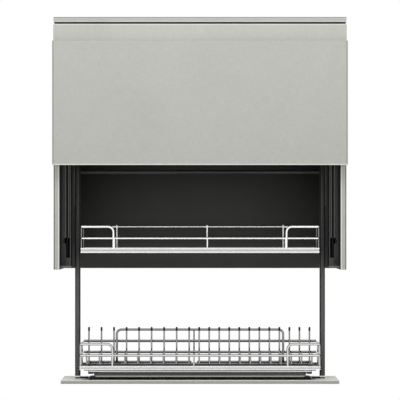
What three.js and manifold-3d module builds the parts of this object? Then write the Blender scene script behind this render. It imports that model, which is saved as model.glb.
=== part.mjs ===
// A wall cabinet with a door that slides straight up and a two-level dish rack that is lowered out of
// its open base on two arms. Lengths are in millimetres. X is to the right, Y goes into the wall, Z is
// up. The pieces are placed from the cabinet's middle, its front edge and its base, and the whole
// cabinet then hangs so that the middle of the hanging rail's wall face is at the origin.
import * as THREE from 'three'
import { mergeVertices } from 'three/addons/utils/BufferGeometryUtils.js'
import Module from 'manifold-3d'

const wasm = await Module()
wasm.setup()

// Gaps and overruns that every piece shares
const fitGap = 0.3
const runningGap = 0.5
const overrun = 5
const weldOverlap = 2
const mergeTolerance = 0.0001

// Cabinet boards
const cabinetWidth = 900
const cabinetHeight = 776.5
const cabinetDepth = 350
const sideThickness = 18
const topThickness = 15.5
const spacerThickness = 5
const spacerInset = 2.5
const backThickness = 8
const backRecess = 16
const hangingRailHeight = 110
const hangingRailDrop = 115
const fasciaThickness = 18
const fasciaLift = 367
const fasciaTopDrop = 1.5

// Hangers that hook over wall plates
const hangerWidth = 56
const hangerHeight = 40
const hangerSheet = 3
const hangerLipHeight = 26
const hangerTopDrop = 12
const hangerSideGap = 20

// Door and the brackets behind it
const doorSideReach = 2
const doorHeight = 380
const doorThickness = 20
const doorToFascia = 3.7
const doorOpenLift = 321
const doorTravel = 320
const doorBracketWidth = 26
const doorBracketHeight = 90
const doorBracketThickness = 2.7
const doorBracketLift = 14
const tongueThickness = 3.6
const tongueHeight = 18
const tongueLift = 40
const tongueSideGap = 0.7
const tongueNotchGap = 4.2

// Side cassettes, with a slot for the door's tongue that widens into an L-shaped gate
const cassetteFront = 35
const cassetteDepth = 155
const cassetteWall = 2
const cassetteCoverThickness = 1.7
const cassetteLift = 6.5
const cassetteFootHeight = 4.5
const cassetteTopDrop = 10
const slotOffset = 11.1
const slotTopDrop = 30
const gateInnerReach = 7.6
const gateNarrowReach = 3.4
const gateWideReach = 12.4
const gateSlack = 4
const gateNarrowHeight = 43
const gateWideHeight = 17

// Belts, pulleys, shafts and guide rods inside the cassettes
const beltWidth = 9
const beltThickness = 1.5
const beltClearance = 0.3
const beltPlateGap = 1.4
const slotToBelt = 12.5
const pulleyMargin = 0.7
const pulleySideGap = 2.5
const doorPulleyRadius = 12
const rackPulleyRadius = 14
const rackPulleySetback = 25
const idlerFloorGap = 2.9
const shaftDrop = 50
const shaftRadius = 5
const axleRadius = 4
const doorRodRadius = 3.5
const doorRodWall = 0.3
const rackRodRadius = 5
const rackRodSetback = 59

// Carriers that the belts pull
const carrierPlateThickness = 9
const carrierLift = 38
const carrierHeight = 72
const carrierClampHeight = 26
const carrierSideGap = 1.6
const doorBossWall = 1.9
const clampThickness = 2.8

// Rack rails and the carriages in them
const rackRailDepth = 40
const rackRailWidth = 8.2
const rackRailWall = 2
const rackSlotSlack = 1
const rackTongueThickness = 6
const carriageHeight = 180
const rackRunnerHeight = 100
const rackClampHeight = 40
const rackRunnerWall = 0.9

// Arms, their cross bar and their feet
const armSideGap = 0.9
const armWidth = 16
const armDepth = 30
const armWall = 2.5
const armGrooveWidth = 2
const armGrooveDepth = 1.2
const armHeadroom = 24.5
const armTopRise = 5
const crossBarRadius = 6.3
const crossBarDrop = 82.5
const footHeight = 8
const tabWidth = 16
const tabDepth = 20
const tabThickness = 3

// Bottom panel and its mat
const panelSideGap = 4
const panelFront = 2
const panelBackGap = 66
const panelThickness = 11
const panelDrop = 340
const closingGap = 0.6
const matSideGap = 83
const matFrontGap = 42
const matBackGap = 16
const matThickness = 2.5
const matCornerRadius = 20

// Wire baskets: both stand on the same outline in depth
const basketFront = 5
const basketBackGap = 76
const hoopRadius = 4
const midWireRadius = 3
const backWireRadius = 2.5
const postRadius = 2.5
const cornerBend = 10
const hoopBend = 16
const hoopRun = 103
const bandThickness = 4
const endPostOffset = 18
const endPostSpacing = 137
const wireSides = 6
const bendSteps = 3

// Upper shelf: its rises are above the underside of its band
const shelfSideGap = 4
const shelfBandLift = 51.6
const shelfBandHeight = 15.5
const shelfMidRise = 44.7
const shelfTopRise = 80.4
const shelfPostRise = 5
const shelfPostInset = 106
const shelfMiddlePost = 22.5
const shelfPostRadius = 2.8
const shelfFloorWires = 8
const shelfFloorRadius = 2
const shelfCrossRadius = 2.5
const shelfCrossWires = 3
const shelfFloorDrop = 6

// Lower basket: its rises are above the underside of its band
const basketSideGap = 0.5
const basketBandLift = 32
const basketBandHeight = 11.3
const basketMidRise = 44.2
const basketTopRise = 79.2
const dividerOffset = 18.9
const dividerRise = 118

// Plate tines: two combs with their own pitch
const tineRadius = 2.5
const tineBackGap = 50
const tineTipRise = 125
const tineFrontLegRise = 50
const tineBend = 8
const leftTineEndGap = 23.7
const leftTinePitch = 39.36
const rightTineStart = -2.5
const rightTineEndGap = 28
const rightTinePitch = 31.5
const combBarRadius = 3
const combBarReach = 7
const tineRailInset = 7.5
const tineRailRadius = 3.6
const tineRailRise = 117
const tineRailBend = 14

// Drip tray and the frame that it hangs in
const trayEndGap = 31.5
const trayRimReach = 15
const trayFront = 18
const trayBackGap = 12
const trayHeight = 13.5
const trayWall = 1.5
const trayCornerRadius = 10
const trayRimDrop = 8
const runnerBackGap = 4.7
const runnerWall = 2
const runnerReach = 13
const runnerFlange = 15
const trayGap = 1
const trayFrameBar = 3.4

// Drive gear above the raised rack
const driveShelfSideGap = 50
const driveShelfFlange = 40
const driveShelfSheet = 2
const gearboxLength = 50
const gearboxDepth = 90
const gearboxHeight = 52
const gearboxFrontReach = 25
const gearboxOffset = 100
const motorRadius = 22
const motorFloorGap = 3
const motorLength = 120
const motorOffset = 40
const controlBoxLength = 140
const controlBoxDepth = 80
const controlBoxHeight = 36
const inletWidth = 28
const inletDepth = 14
const inletHeight = 20

const roundSides = 20
const arcSteps = 5
const rodSides = 12

// Places worked out from the sizes above: the boards and the door
const innerHalf = cabinetWidth / 2 - sideThickness
const sideTop = cabinetHeight - topThickness - spacerThickness - 2 * fitGap
const backFront = cabinetDepth - backRecess - backThickness
const hangLift = sideTop - hangingRailDrop - hangingRailHeight / 2
const fasciaFront = -fitGap - fasciaThickness
const doorBack = fasciaFront - doorToFascia
const doorHalf = cabinetWidth / 2 + doorSideReach

// The cassettes are as wide as the slot, the belt and the gaps beside them need
const pulleyWidth = beltWidth + 2 * pulleyMargin
const cassetteOuter = innerHalf - fitGap
const beltCentre = cassetteOuter - cassetteWall - pulleySideGap - pulleyWidth / 2
const slotCentre = beltCentre - slotToBelt
const slotWidth = tongueThickness + 2 * tongueSideGap
const cassetteInner = slotCentre - slotOffset
const cassetteBack = cassetteFront + cassetteDepth
const channelBottom = cassetteLift + cassetteFootHeight + fitGap
const channelTop = sideTop - cassetteTopDrop
const channelInner = cassetteInner + cassetteCoverThickness + fitGap
const gateBottom = doorOpenLift - doorTravel + tongueLift - gateSlack
const gateShoulder = gateBottom + gateNarrowHeight
const beltInner = beltCentre - beltWidth / 2
const beltOuter = beltInner + beltWidth

// Depths and heights of the running gear
const tongueEnd = cassetteFront + cassetteWall + runningGap
const carrierFront = tongueEnd + fitGap
const carrierPlateBack = carrierFront + carrierPlateThickness
const doorPulleyDepth = carrierPlateBack + beltPlateGap + beltThickness + beltClearance + doorPulleyRadius
const doorRodDepth = carrierPlateBack + doorRodWall + runningGap + doorRodRadius
const rackPulleyDepth = cassetteBack - rackPulleySetback
const rackRodDepth = cassetteBack - rackRodSetback
const idlerLift = channelBottom + idlerFloorGap + beltThickness + beltClearance + rackPulleyRadius
const shaftLift = sideTop - shaftDrop
const railOuter = cassetteInner - fitGap
const railInner = railOuter - rackRailWidth

// The rack, at the foot of its travel
const panelTop = -panelDrop
const rackTravel = cassetteLift + panelDrop - closingGap
const armOuter = railInner - armSideGap
const armInner = armOuter - armWidth
const armFront = rackRodDepth - armDepth / 2
const armTopLift = sideTop - armHeadroom - rackTravel
const carriageLift = armTopLift - armTopRise - carriageHeight
const crossBarLift = armTopLift - crossBarDrop
const panelHalf = innerHalf - panelSideGap
const panelBack = backFront - panelBackGap
const basketBack = backFront - basketBackGap
const shelfHalf = armInner - shelfSideGap
const basketHalf = armInner - basketSideGap
const basketFloor = panelTop + basketBandLift
const basketBandTop = basketFloor + basketBandHeight
const tineDepth = basketBack - tineBackGap
const tineFloor = basketBandTop + fitGap + tineRadius
const combBarDepth = basketBack - hoopRadius - bandThickness / 2 - fitGap - combBarRadius
const trayRimHalf = basketHalf - trayEndGap
const trayRimTop = basketFloor - trayRimDrop

const left = { name: 'left', sign: -1 }
const right = { name: 'right', sign: 1 }
const sides = [left, right]

const board = new THREE.MeshStandardMaterial({ color: 0xb9bbb4, roughness: 0.55, metalness: 0.1 })
const boardLight = new THREE.MeshStandardMaterial({ color: 0xc1c3bc, roughness: 0.5, metalness: 0.1 })
const black = new THREE.MeshStandardMaterial({ color: 0x2b2b29, roughness: 0.6, metalness: 0 })
const darkMetal = new THREE.MeshStandardMaterial({ color: 0x585858, roughness: 0.4, metalness: 0.7 })
const steel = new THREE.MeshStandardMaterial({ color: 0xa8a8a8, roughness: 0.35, metalness: 0.9 })
const chrome = new THREE.MeshStandardMaterial({ color: 0xdcdcdc, roughness: 0.15, metalness: 1 })
const palePlastic = new THREE.MeshStandardMaterial({ color: 0xe6e6e2, roughness: 0.5, metalness: 0 })
const greyPlastic = new THREE.MeshStandardMaterial({ color: 0x8f8f8c, roughness: 0.5, metalness: 0 })
const rubber = new THREE.MeshStandardMaterial({ color: 0x1b1b1a, roughness: 0.9, metalness: 0 })

const cabinet = new THREE.Group()
cabinet.position.set(0, -cabinetDepth, -hangLift)
const whole = new THREE.Group()
whole.add(cabinet)

function add(name, geometry, material) {
  const mesh = new THREE.Mesh(geometry, material)
  mesh.name = name
  cabinet.add(mesh)
}

// The stretch between two distances from the middle, on the side that the sign names
function span(sign, inner, outer) {
  return sign < 0 ? [-outer, -inner] : [inner, outer]
}

function slab(xs, ys, zs) {
  const geometry = new THREE.BoxGeometry(xs[1] - xs[0], ys[1] - ys[0], zs[1] - zs[0])
  return geometry.translate((xs[0] + xs[1]) / 2, (ys[0] + ys[1]) / 2, (zs[0] + zs[1]) / 2)
}

// A prism along one axis: the outline is drawn in the other two axes, in the order X, Y, Z
function prism(axis, outline, from, to, hole = null) {
  const flip = axis === 'y'
  const flat = (pairs) => {
    const points = pairs.map(([a, b]) => (flip ? new THREE.Vector2(b, a) : new THREE.Vector2(a, b)))
    return THREE.ShapeUtils.isClockWise(points) ? points.reverse() : points
  }
  const shape = new THREE.Shape(flat(outline))
  if (hole) shape.holes.push(new THREE.Path(flat(hole)))
  const geometry = new THREE.ExtrudeGeometry(shape, { depth: to - from, bevelEnabled: false, steps: 1 })
  const x = new THREE.Vector3(1, 0, 0)
  const y = new THREE.Vector3(0, 1, 0)
  const z = new THREE.Vector3(0, 0, 1)
  const bases = { x: [y, z, x], y: [z, x, y], z: [x, y, z] }
  geometry.applyMatrix4(new THREE.Matrix4().makeBasis(...bases[axis]))
  return geometry.translate(...bases[axis][2].clone().multiplyScalar(from).toArray())
}

function arc(centreA, centreB, radius, fromShare, toShare, steps) {
  const points = []
  for (let i = 0; i <= steps; i++) {
    const turn = 2 * Math.PI * (fromShare + ((toShare - fromShare) * i) / steps)
    points.push([centreA + radius * Math.cos(turn), centreB + radius * Math.sin(turn)])
  }
  return points
}

function roundedRectangle(as, bs, radius, steps = arcSteps) {
  return [
    ...arc(as[1] - radius, bs[1] - radius, radius, 0, 1 / 4, steps),
    ...arc(as[0] + radius, bs[1] - radius, radius, 1 / 4, 1 / 2, steps),
    ...arc(as[0] + radius, bs[0] + radius, radius, 1 / 2, 3 / 4, steps),
    ...arc(as[1] - radius, bs[0] + radius, radius, 3 / 4, 1, steps),
  ]
}

function circle(a, b, radius, count = roundSides) {
  return arc(a, b, radius, 0, 1, count).slice(0, count)
}

// A turned piece about an axis along X, from pairs of radius and place along the axis
function turned(profile, y, z, count = roundSides) {
  const geometry = new THREE.LatheGeometry(profile.map((pair) => new THREE.Vector2(...pair)), count)
  return geometry.rotateZ(-Math.PI / 2).translate(0, y, z)
}

function solid(geometry) {
  const bare = geometry.clone()
  bare.deleteAttribute('normal')
  bare.deleteAttribute('uv')
  const merged = mergeVertices(bare, mergeTolerance)
  return new wasm.Manifold(new wasm.Mesh({
    numProp: 3,
    vertProperties: Float32Array.from(merged.attributes.position.array),
    triVerts: Uint32Array.from(merged.index.array),
  }))
}

function shell(manifold) {
  const mesh = manifold.getMesh()
  const geometry = new THREE.BufferGeometry()
  geometry.setAttribute('position', new THREE.BufferAttribute(mesh.vertProperties, 3))
  geometry.setIndex(new THREE.BufferAttribute(mesh.triVerts, 1))
  geometry.computeVertexNormals()
  return geometry
}

function join(...geometries) {
  return shell(geometries.map(solid).reduce((whole, piece) => whole.add(piece)))
}

function cut(geometry, ...tools) {
  return shell(tools.map(solid).reduce((whole, tool) => whole.subtract(tool), solid(geometry)))
}

// A path of straight runs and round bends, given by the sections where its direction changes
class BentPath extends THREE.Curve {
  constructor(sections) {
    super()
    this.sections = sections
  }

  section(share) {
    return this.sections[Math.round(share * (this.sections.length - 1))]
  }

  getPointAt(share) {
    return this.section(share).point.clone()
  }

  getTangentAt(share) {
    return this.section(share).direction.clone()
  }
}

function bendSections(before, corner, after, bend) {
  const arriving = corner.clone().sub(before).normalize()
  const leaving = after.clone().sub(corner).normalize()
  const turn = arriving.angleTo(leaving)
  const start = corner.clone().addScaledVector(arriving, -bend * Math.tan(turn / 2))
  const inward = leaving.clone().addScaledVector(arriving, -leaving.dot(arriving)).normalize()
  const sections = []
  for (let i = 0; i <= bendSteps; i++) {
    const angle = (turn * i) / bendSteps
    const point = start.clone().addScaledVector(arriving, bend * Math.sin(angle))
    point.addScaledVector(inward, bend * (1 - Math.cos(angle)))
    const direction = arriving.clone().multiplyScalar(Math.cos(angle))
    direction.addScaledVector(inward, Math.sin(angle))
    sections.push({ point, direction })
  }
  return sections
}

// A round wire through the given corners, open at its two ends
function wire(corners, radius, bend) {
  const points = corners.map((corner) => new THREE.Vector3(...corner))
  const last = points.length - 1
  const first = { point: points[0], direction: points[1].clone().sub(points[0]).normalize() }
  const end = { point: points[last], direction: points[last].clone().sub(points[last - 1]).normalize() }
  const bends = []
  for (let i = 1; i < last; i++) bends.push(...bendSections(points[i - 1], points[i], points[i + 1], bend))
  const path = new BentPath([first, ...bends, end])
  const rim = circle(0, 0, radius, wireSides).map((pair) => new THREE.Vector2(...pair))
  const section = new THREE.Shape(rim)
  return new THREE.ExtrudeGeometry(section, { steps: path.sections.length - 1, extrudePath: path })
}

// A round wire bent into a closed level rectangle
function wireLoop(xs, ys, z, radius, bend) {
  const corners = [[xs[1], ys[0], z], [xs[1], ys[1], z], [xs[0], ys[1], z], [xs[0], ys[0], z]]
  const points = corners.map((corner) => new THREE.Vector3(...corner))
  const sections = points.flatMap((point, i) => {
    const after = points[(i + 1) % points.length]
    return bendSections(points.at(i - 1), point, after, bend)
  })
  sections.push(sections[0])
  return new THREE.TubeGeometry(new BentPath(sections), sections.length - 1, radius, wireSides, true)
}

function buildBoards() {
  const inside = [-innerHalf + fitGap, innerHalf - fitGap]
  for (const { name, sign } of sides) {
    const xs = span(sign, innerHalf, cabinetWidth / 2)
    add(`${name}_side_panel`, slab(xs, [0, cabinetDepth], [0, sideTop]), board)
  }
  const spacerXs = [-cabinetWidth / 2 + spacerInset, cabinetWidth / 2 - spacerInset]
  const spacerBottom = sideTop + fitGap
  const spacerYs = [spacerInset, cabinetDepth]
  add('spacer_board', slab(spacerXs, spacerYs, [spacerBottom, spacerBottom + spacerThickness]), black)
  const topZs = [cabinetHeight - topThickness, cabinetHeight]
  add('top_panel', slab([-cabinetWidth / 2, cabinetWidth / 2], [0, cabinetDepth], topZs), boardLight)
  add('back_panel', slab(inside, [backFront, backFront + backThickness], [0, sideTop]), black)
  const railTop = sideTop - hangingRailDrop
  const railYs = [backFront + backThickness + fitGap, cabinetDepth]
  add('hanging_rail', slab(inside, railYs, [railTop - hangingRailHeight, railTop]), board)
}

// The fascia is notched so that the raised door's tongues pass its lower edge
function buildFascia() {
  const zs = [fasciaLift, sideTop - fasciaTopDrop]
  const face = slab([-cabinetWidth / 2, cabinetWidth / 2], [fasciaFront, -fitGap], zs)
  const notchTop = doorOpenLift + tongueLift + tongueHeight + doorToFascia
  const notches = sides.map(({ sign }) => {
    const half = tongueThickness / 2 + tongueNotchGap
    const xs = span(sign, slotCentre - half, slotCentre + half)
    return slab(xs, [fasciaFront - overrun, overrun], [fasciaLift - overrun, notchTop])
  })
  add('fascia_panel', cut(face, ...notches), boardLight)
}

function buildHangers() {
  const top = sideTop - hangerTopDrop
  const front = backFront + backThickness + fitGap
  const back = cabinetDepth - fitGap
  const outline = [
    [front, top - hangerHeight],
    [front + hangerSheet, top - hangerHeight],
    [front + hangerSheet, top - hangerSheet],
    [back - hangerSheet, top - hangerSheet],
    [back - hangerSheet, top - hangerLipHeight],
    [back, top - hangerLipHeight],
    [back, top],
    [front, top],
  ]
  const outer = innerHalf - hangerSideGap
  for (const { name, sign } of sides) {
    add(`${name}_hanger`, prism('x', outline, ...span(sign, outer - hangerWidth, outer)), steel)
  }
}

// The channel is open towards the middle of the cabinet, where its cover closes it. It carries the
// stub axles of the two idler pulleys.
function buildCassette({ name, sign }) {
  const x = (distance) => sign * distance
  const outerInside = cassetteOuter - cassetteWall
  const outline = [
    [x(channelInner), cassetteFront],
    [x(cassetteOuter), cassetteFront],
    [x(cassetteOuter), cassetteBack],
    [x(channelInner), cassetteBack],
    [x(channelInner), cassetteBack - cassetteWall],
    [x(outerInside), cassetteBack - cassetteWall],
    [x(outerInside), cassetteFront + cassetteWall],
    [x(channelInner), cassetteFront + cassetteWall],
  ]
  const walls = prism('z', outline, channelBottom, channelTop)
  const capYs = [cassetteFront + weldOverlap / 2, cassetteBack - weldOverlap / 2]
  const capXs = span(sign, channelInner, cassetteOuter - weldOverlap / 2)
  const cap = slab(capXs, capYs, [channelTop - cassetteWall, channelTop])
  const axleInner = beltCentre - pulleyWidth / 2 - runningGap
  const axles = [doorPulleyDepth, rackPulleyDepth].map((depth) => {
    const xs = span(sign, axleInner, cassetteOuter - cassetteWall / 2)
    return prism('x', circle(depth, idlerLift, axleRadius, rodSides), ...xs)
  })
  const frontYs = [cassetteFront - overrun, cassetteFront + cassetteWall + overrun]
  const slotXs = span(sign, slotCentre - slotWidth / 2, slotCentre + slotWidth / 2)
  const slot = slab(slotXs, frontYs, [gateShoulder, channelTop - slotTopDrop])
  const gateInner = slotCentre - gateInnerReach
  const wideXs = span(sign, gateInner, slotCentre + gateWideReach)
  const wide = slab(wideXs, frontYs, [gateShoulder, gateShoulder + gateWideHeight])
  const narrowXs = span(sign, gateInner, slotCentre + gateNarrowReach)
  const narrow = slab(narrowXs, frontYs, [gateBottom, gateShoulder + weldOverlap])
  add(`${name}_cassette_channel`, cut(join(walls, cap, ...axles), slot, wide, narrow), black)

  const coverXs = span(sign, cassetteInner, cassetteInner + cassetteCoverThickness)
  const cover = slab(coverXs, [cassetteFront, cassetteBack], [channelBottom, channelTop])
  const throughXs = span(sign, cassetteInner - overrun, channelInner + overrun)
  const shaftHoles = [doorPulleyDepth, rackPulleyDepth].map((depth) => {
    return prism('x', circle(depth, shaftLift, shaftRadius + runningGap), ...throughXs)
  })
  add(`${name}_cassette_cover`, cut(cover, rackSlot(throughXs), ...shaftHoles), black)

  const footZs = [cassetteLift, cassetteLift + cassetteFootHeight]
  const foot = slab(span(sign, cassetteInner, cassetteOuter), [cassetteFront, cassetteBack], footZs)
  add(`${name}_cassette_foot`, foot, greyPlastic)
}

// The slot that the rack's tongue runs in, through the cover and the rail beside it
function rackSlot(xs) {
  const half = rackTongueThickness / 2 + rackSlotSlack
  const ys = [rackRodDepth - half, rackRodDepth + half]
  const top = carriageLift + rackRunnerHeight + rackTravel
  return slab(xs, ys, [carriageLift - rackSlotSlack, top + rackSlotSlack])
}

function buildRackRail({ name, sign }) {
  const x = (distance) => sign * distance
  const front = rackRodDepth - rackRailDepth / 2
  const back = rackRodDepth + rackRailDepth / 2
  const outline = [
    [x(railInner), front],
    [x(railOuter), front],
    [x(railOuter), back],
    [x(railInner), back],
    [x(railInner), back - rackRailWall],
    [x(railOuter - rackRailWall), back - rackRailWall],
    [x(railOuter - rackRailWall), front + rackRailWall],
    [x(railInner), front + rackRailWall],
  ]
  const rail = prism('z', outline, cassetteLift, channelTop)
  const slotXs = span(sign, railOuter - rackRailWall - overrun, railOuter + overrun)
  add(`${name}_rack_rail`, cut(rail, rackSlot(slotXs)), black)
}

function buildGuideRods({ name, sign }) {
  const zs = [channelBottom, channelTop - cassetteWall - fitGap]
  const x = sign * slotCentre
  const doorRod = prism('z', circle(x, doorRodDepth, doorRodRadius, rodSides), ...zs)
  add(`${name}_door_guide_rod`, doorRod, steel)
  const rackRod = prism('z', circle(x, rackRodDepth, rackRodRadius, rodSides), ...zs)
  add(`${name}_rack_guide_rod`, rackRod, steel)
}

// A belt lies round its drive pulley at the top and its idler at the bottom
function belt(sign, radius, depth) {
  const loop = (size) => [
    ...arc(depth, shaftLift, size, 0, 1 / 2, 2 * arcSteps),
    ...arc(depth, idlerLift, size, 1 / 2, 1, 2 * arcSteps),
  ]
  const inner = radius + beltClearance
  const xs = span(sign, beltInner, beltOuter)
  return prism('x', loop(inner + beltThickness), ...xs, loop(inner))
}

function idler(sign, radius, depth) {
  const bore = axleRadius + runningGap
  const [from, to] = span(sign, beltCentre - pulleyWidth / 2, beltCentre + pulleyWidth / 2)
  const profile = [[bore, from], [radius, from], [radius, to], [bore, to], [bore, from]]
  return turned(profile, depth, idlerLift)
}

function buildBeltsAndIdlers({ name, sign }) {
  add(`${name}_door_belt`, belt(sign, doorPulleyRadius, doorPulleyDepth), rubber)
  add(`${name}_rack_belt`, belt(sign, rackPulleyRadius, rackPulleyDepth), rubber)
  add(`${name}_door_idler`, idler(sign, doorPulleyRadius, doorPulleyDepth), greyPlastic)
  add(`${name}_rack_idler`, idler(sign, rackPulleyRadius, rackPulleyDepth), greyPlastic)
}

// A drive shaft spans both cassettes, with a pulley turned on each end
function driveShaft(radius, depth) {
  const inner = beltCentre - pulleyWidth / 2
  const outer = beltCentre + pulleyWidth / 2
  const profile = [
    [0, -outer],
    [radius, -outer],
    [radius, -inner],
    [shaftRadius, -inner],
    [shaftRadius, inner],
    [radius, inner],
    [radius, outer],
    [0, outer],
  ]
  return turned(profile, depth, shaftLift)
}

// Both gearboxes stand on a sheet shelf that runs from the fascia to the back panel
function buildDrive() {
  const web = shaftLift - motorRadius - motorFloorGap - fitGap
  const flangeTop = web + driveShelfFlange
  const rear = backFront - fitGap
  const outline = [
    [0, web - driveShelfSheet],
    [rear, web - driveShelfSheet],
    [rear, flangeTop],
    [rear - driveShelfSheet, flangeTop],
    [rear - driveShelfSheet, web],
    [driveShelfSheet, web],
    [driveShelfSheet, flangeTop],
    [0, flangeTop],
  ]
  const half = railInner - driveShelfSideGap
  add('drive_shelf', prism('x', outline, -half, half), steel)

  const drives = [
    { name: 'door', sign: 1, depth: doorPulleyDepth, radius: doorPulleyRadius },
    { name: 'rack', sign: -1, depth: rackPulleyDepth, radius: rackPulleyRadius },
  ]
  for (const { name, sign, depth, radius } of drives) {
    const inner = gearboxOffset
    const outer = inner + gearboxLength
    const zs = [web + fitGap, web + fitGap + gearboxHeight]
    const boxFront = depth - gearboxFrontReach
    const box = slab(span(sign, inner, outer), [boxFront, boxFront + gearboxDepth], zs)
    const boreXs = span(sign, inner - overrun, outer + overrun)
    const bore = prism('x', circle(depth, shaftLift, shaftRadius + runningGap), ...boreXs)
    add(`${name}_gearbox`, cut(box, bore), greyPlastic)
    const motorXs = span(sign, outer + fitGap, outer + fitGap + motorLength)
    const motor = prism('x', circle(depth + motorOffset, shaftLift, motorRadius), ...motorXs)
    add(`${name}_motor`, motor, darkMetal)
    add(`${name}_drive_shaft`, driveShaft(radius, depth), steel)
  }

  const boxBack = rear - driveShelfSheet - fitGap - inletDepth
  const boxXs = [-controlBoxLength / 2, controlBoxLength / 2]
  const boxZs = [web + fitGap, web + fitGap + controlBoxHeight]
  add('control_box', slab(boxXs, [boxBack - controlBoxDepth, boxBack], boxZs), black)
  const inletXs = [-inletWidth / 2, inletWidth / 2]
  const inletYs = [boxBack + fitGap, boxBack + inletDepth]
  add('power_inlet', slab(inletXs, inletYs, [web + fitGap, web + fitGap + inletHeight]), greyPlastic)
}

function buildDoor() {
  const zs = [doorOpenLift, doorOpenLift + doorHeight]
  const panel = slab([-doorHalf, doorHalf], [doorBack - doorThickness, doorBack], zs)
  add('door_panel', panel, board)
  for (const { name, sign } of sides) {
    const plateLow = doorOpenLift + doorBracketLift
    const plateYs = [doorBack + fitGap, doorBack + fitGap + doorBracketThickness]
    const plateXs = span(sign, slotCentre - doorBracketWidth / 2, slotCentre + doorBracketWidth / 2)
    const plate = slab(plateXs, plateYs, [plateLow, plateLow + doorBracketHeight])
    const tongueLow = doorOpenLift + tongueLift
    const tongueXs = span(sign, slotCentre - tongueThickness / 2, slotCentre + tongueThickness / 2)
    const tongueYs = [plateYs[0] + weldOverlap / 2, tongueEnd]
    const tongue = slab(tongueXs, tongueYs, [tongueLow, tongueLow + tongueHeight])
    add(`${name}_door_bracket`, join(plate, tongue), darkMetal)
    add(`${name}_door_carrier`, doorCarrier(sign), black)
  }
}

// The carrier holds the tongue, slides on its rod and grips the front run of the door belt
function doorCarrier(sign) {
  const low = doorOpenLift + carrierLift
  const top = low + carrierHeight
  const inner = channelInner + carrierSideGap
  const outer = beltOuter + runningGap
  const bossOuter = slotCentre + doorRodRadius + runningGap + doorBossWall
  const clampFront = doorPulleyDepth - doorPulleyRadius + runningGap
  const clampBack = clampFront + clampThickness
  const plate = slab(span(sign, inner, outer), [carrierFront, carrierPlateBack], [low, top])
  const bossYs = [carrierPlateBack - weldOverlap, doorRodDepth + doorRodRadius + clampThickness]
  const boss = slab(span(sign, inner, bossOuter), bossYs, [low, top])
  const clampXs = span(sign, bossOuter - weldOverlap, outer)
  const clamp = slab(clampXs, [clampFront, clampBack], [top - carrierClampHeight, top])
  const bore = circle(sign * slotCentre, doorRodDepth, doorRodRadius + runningGap, rodSides)
  return cut(join(plate, boss, clamp), prism('z', bore, low - overrun, top + overrun))
}

// An arm is a hollow bar with a groove down its front, and carries a tab under each basket
function buildArm({ name, sign }) {
  const x = (distance) => sign * distance
  const back = armFront + armDepth
  const grooveXs = [armInner + armWall, armInner + armWall + armGrooveWidth]
  const outline = [
    [x(armInner), armFront],
    [x(grooveXs[0]), armFront],
    [x(grooveXs[0]), armFront + armGrooveDepth],
    [x(grooveXs[1]), armFront + armGrooveDepth],
    [x(grooveXs[1]), armFront],
    [x(armOuter), armFront],
    [x(armOuter), back],
    [x(armInner), back],
  ]
  const hole = [
    [x(armInner + armWall), armFront + armWall],
    [x(armOuter - armWall), armFront + armWall],
    [x(armOuter - armWall), back - armWall],
    [x(armInner + armWall), back - armWall],
  ]
  const bottom = panelTop + fitGap + footHeight + fitGap
  const bar = prism('z', outline, bottom, armTopLift, hole)
  const tabYs = [rackRodDepth - tabDepth / 2, rackRodDepth + tabDepth / 2]
  const tabXs = span(sign, armInner - tabWidth, armInner + weldOverlap / 2)
  const tabs = [shelfBandLift, basketFloor].map((lift) => {
    return slab(tabXs, tabYs, [lift - fitGap - tabThickness, lift - fitGap])
  })
  add(`${name}_arm`, join(bar, ...tabs), darkMetal)
  const footZs = [panelTop + fitGap, panelTop + fitGap + footHeight]
  const foot = slab(span(sign, armInner, armOuter), [armFront, back], footZs)
  add(`${name}_arm_foot`, foot, palePlastic)
}

// The carriage slides in the rack rail. Its tongue reaches through the slot to a runner on the rack
// rod, which grips the front run of the rack belt.
function buildArmCarriage({ name, sign }) {
  const sliderHalf = rackRailDepth / 2 - rackRailWall - runningGap
  const sliderXs = span(sign, armOuter + fitGap, railOuter - rackRailWall - runningGap)
  const sliderYs = [rackRodDepth - sliderHalf, rackRodDepth + sliderHalf]
  const slider = slab(sliderXs, sliderYs, [carriageLift, carriageLift + carriageHeight])
  const runnerZs = [carriageLift, carriageLift + rackRunnerHeight]
  const runnerInner = channelInner + runningGap
  const runnerOuter = slotCentre + rackRodRadius + runningGap + rackRunnerWall
  const tongueXs = span(sign, railOuter - rackRailWall - weldOverlap, runnerInner + weldOverlap)
  const tongueYs = [rackRodDepth - rackTongueThickness / 2, rackRodDepth + rackTongueThickness / 2]
  const tongue = slab(tongueXs, tongueYs, runnerZs)
  const beltFront = rackPulleyDepth - rackPulleyRadius - beltClearance - beltThickness
  const clampFront = rackPulleyDepth - rackPulleyRadius + runningGap
  const clampBack = clampFront + clampThickness
  const runnerFront = rackRodDepth - rackRodRadius - clampThickness - weldOverlap
  const runner = slab(span(sign, runnerInner, runnerOuter), [runnerFront, clampBack], runnerZs)
  const clampXs = span(sign, runnerOuter - weldOverlap, beltOuter + runningGap)
  const clampLow = carriageLift + (rackRunnerHeight - rackClampHeight) / 2
  const clampZs = [clampLow, clampLow + rackClampHeight]
  const frontJaw = slab(clampXs, [beltFront - runningGap - clampThickness, beltFront - runningGap], clampZs)
  const rearJaw = slab(clampXs, [clampFront, clampBack], clampZs)
  const bore = circle(sign * slotCentre, rackRodDepth, rackRodRadius + runningGap, rodSides)
  const boreTool = prism('z', bore, runnerZs[0] - overrun, runnerZs[1] + overrun)
  const body = cut(join(slider, tongue, runner, frontJaw, rearJaw), boreTool)
  add(`${name}_arm_carriage`, body, greyPlastic)
}

function buildCrossBar() {
  const reach = armInner - fitGap
  const bar = prism('x', circle(rackRodDepth, crossBarLift, crossBarRadius), -reach, reach)
  add('cross_bar', bar, darkMetal)
}

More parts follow.
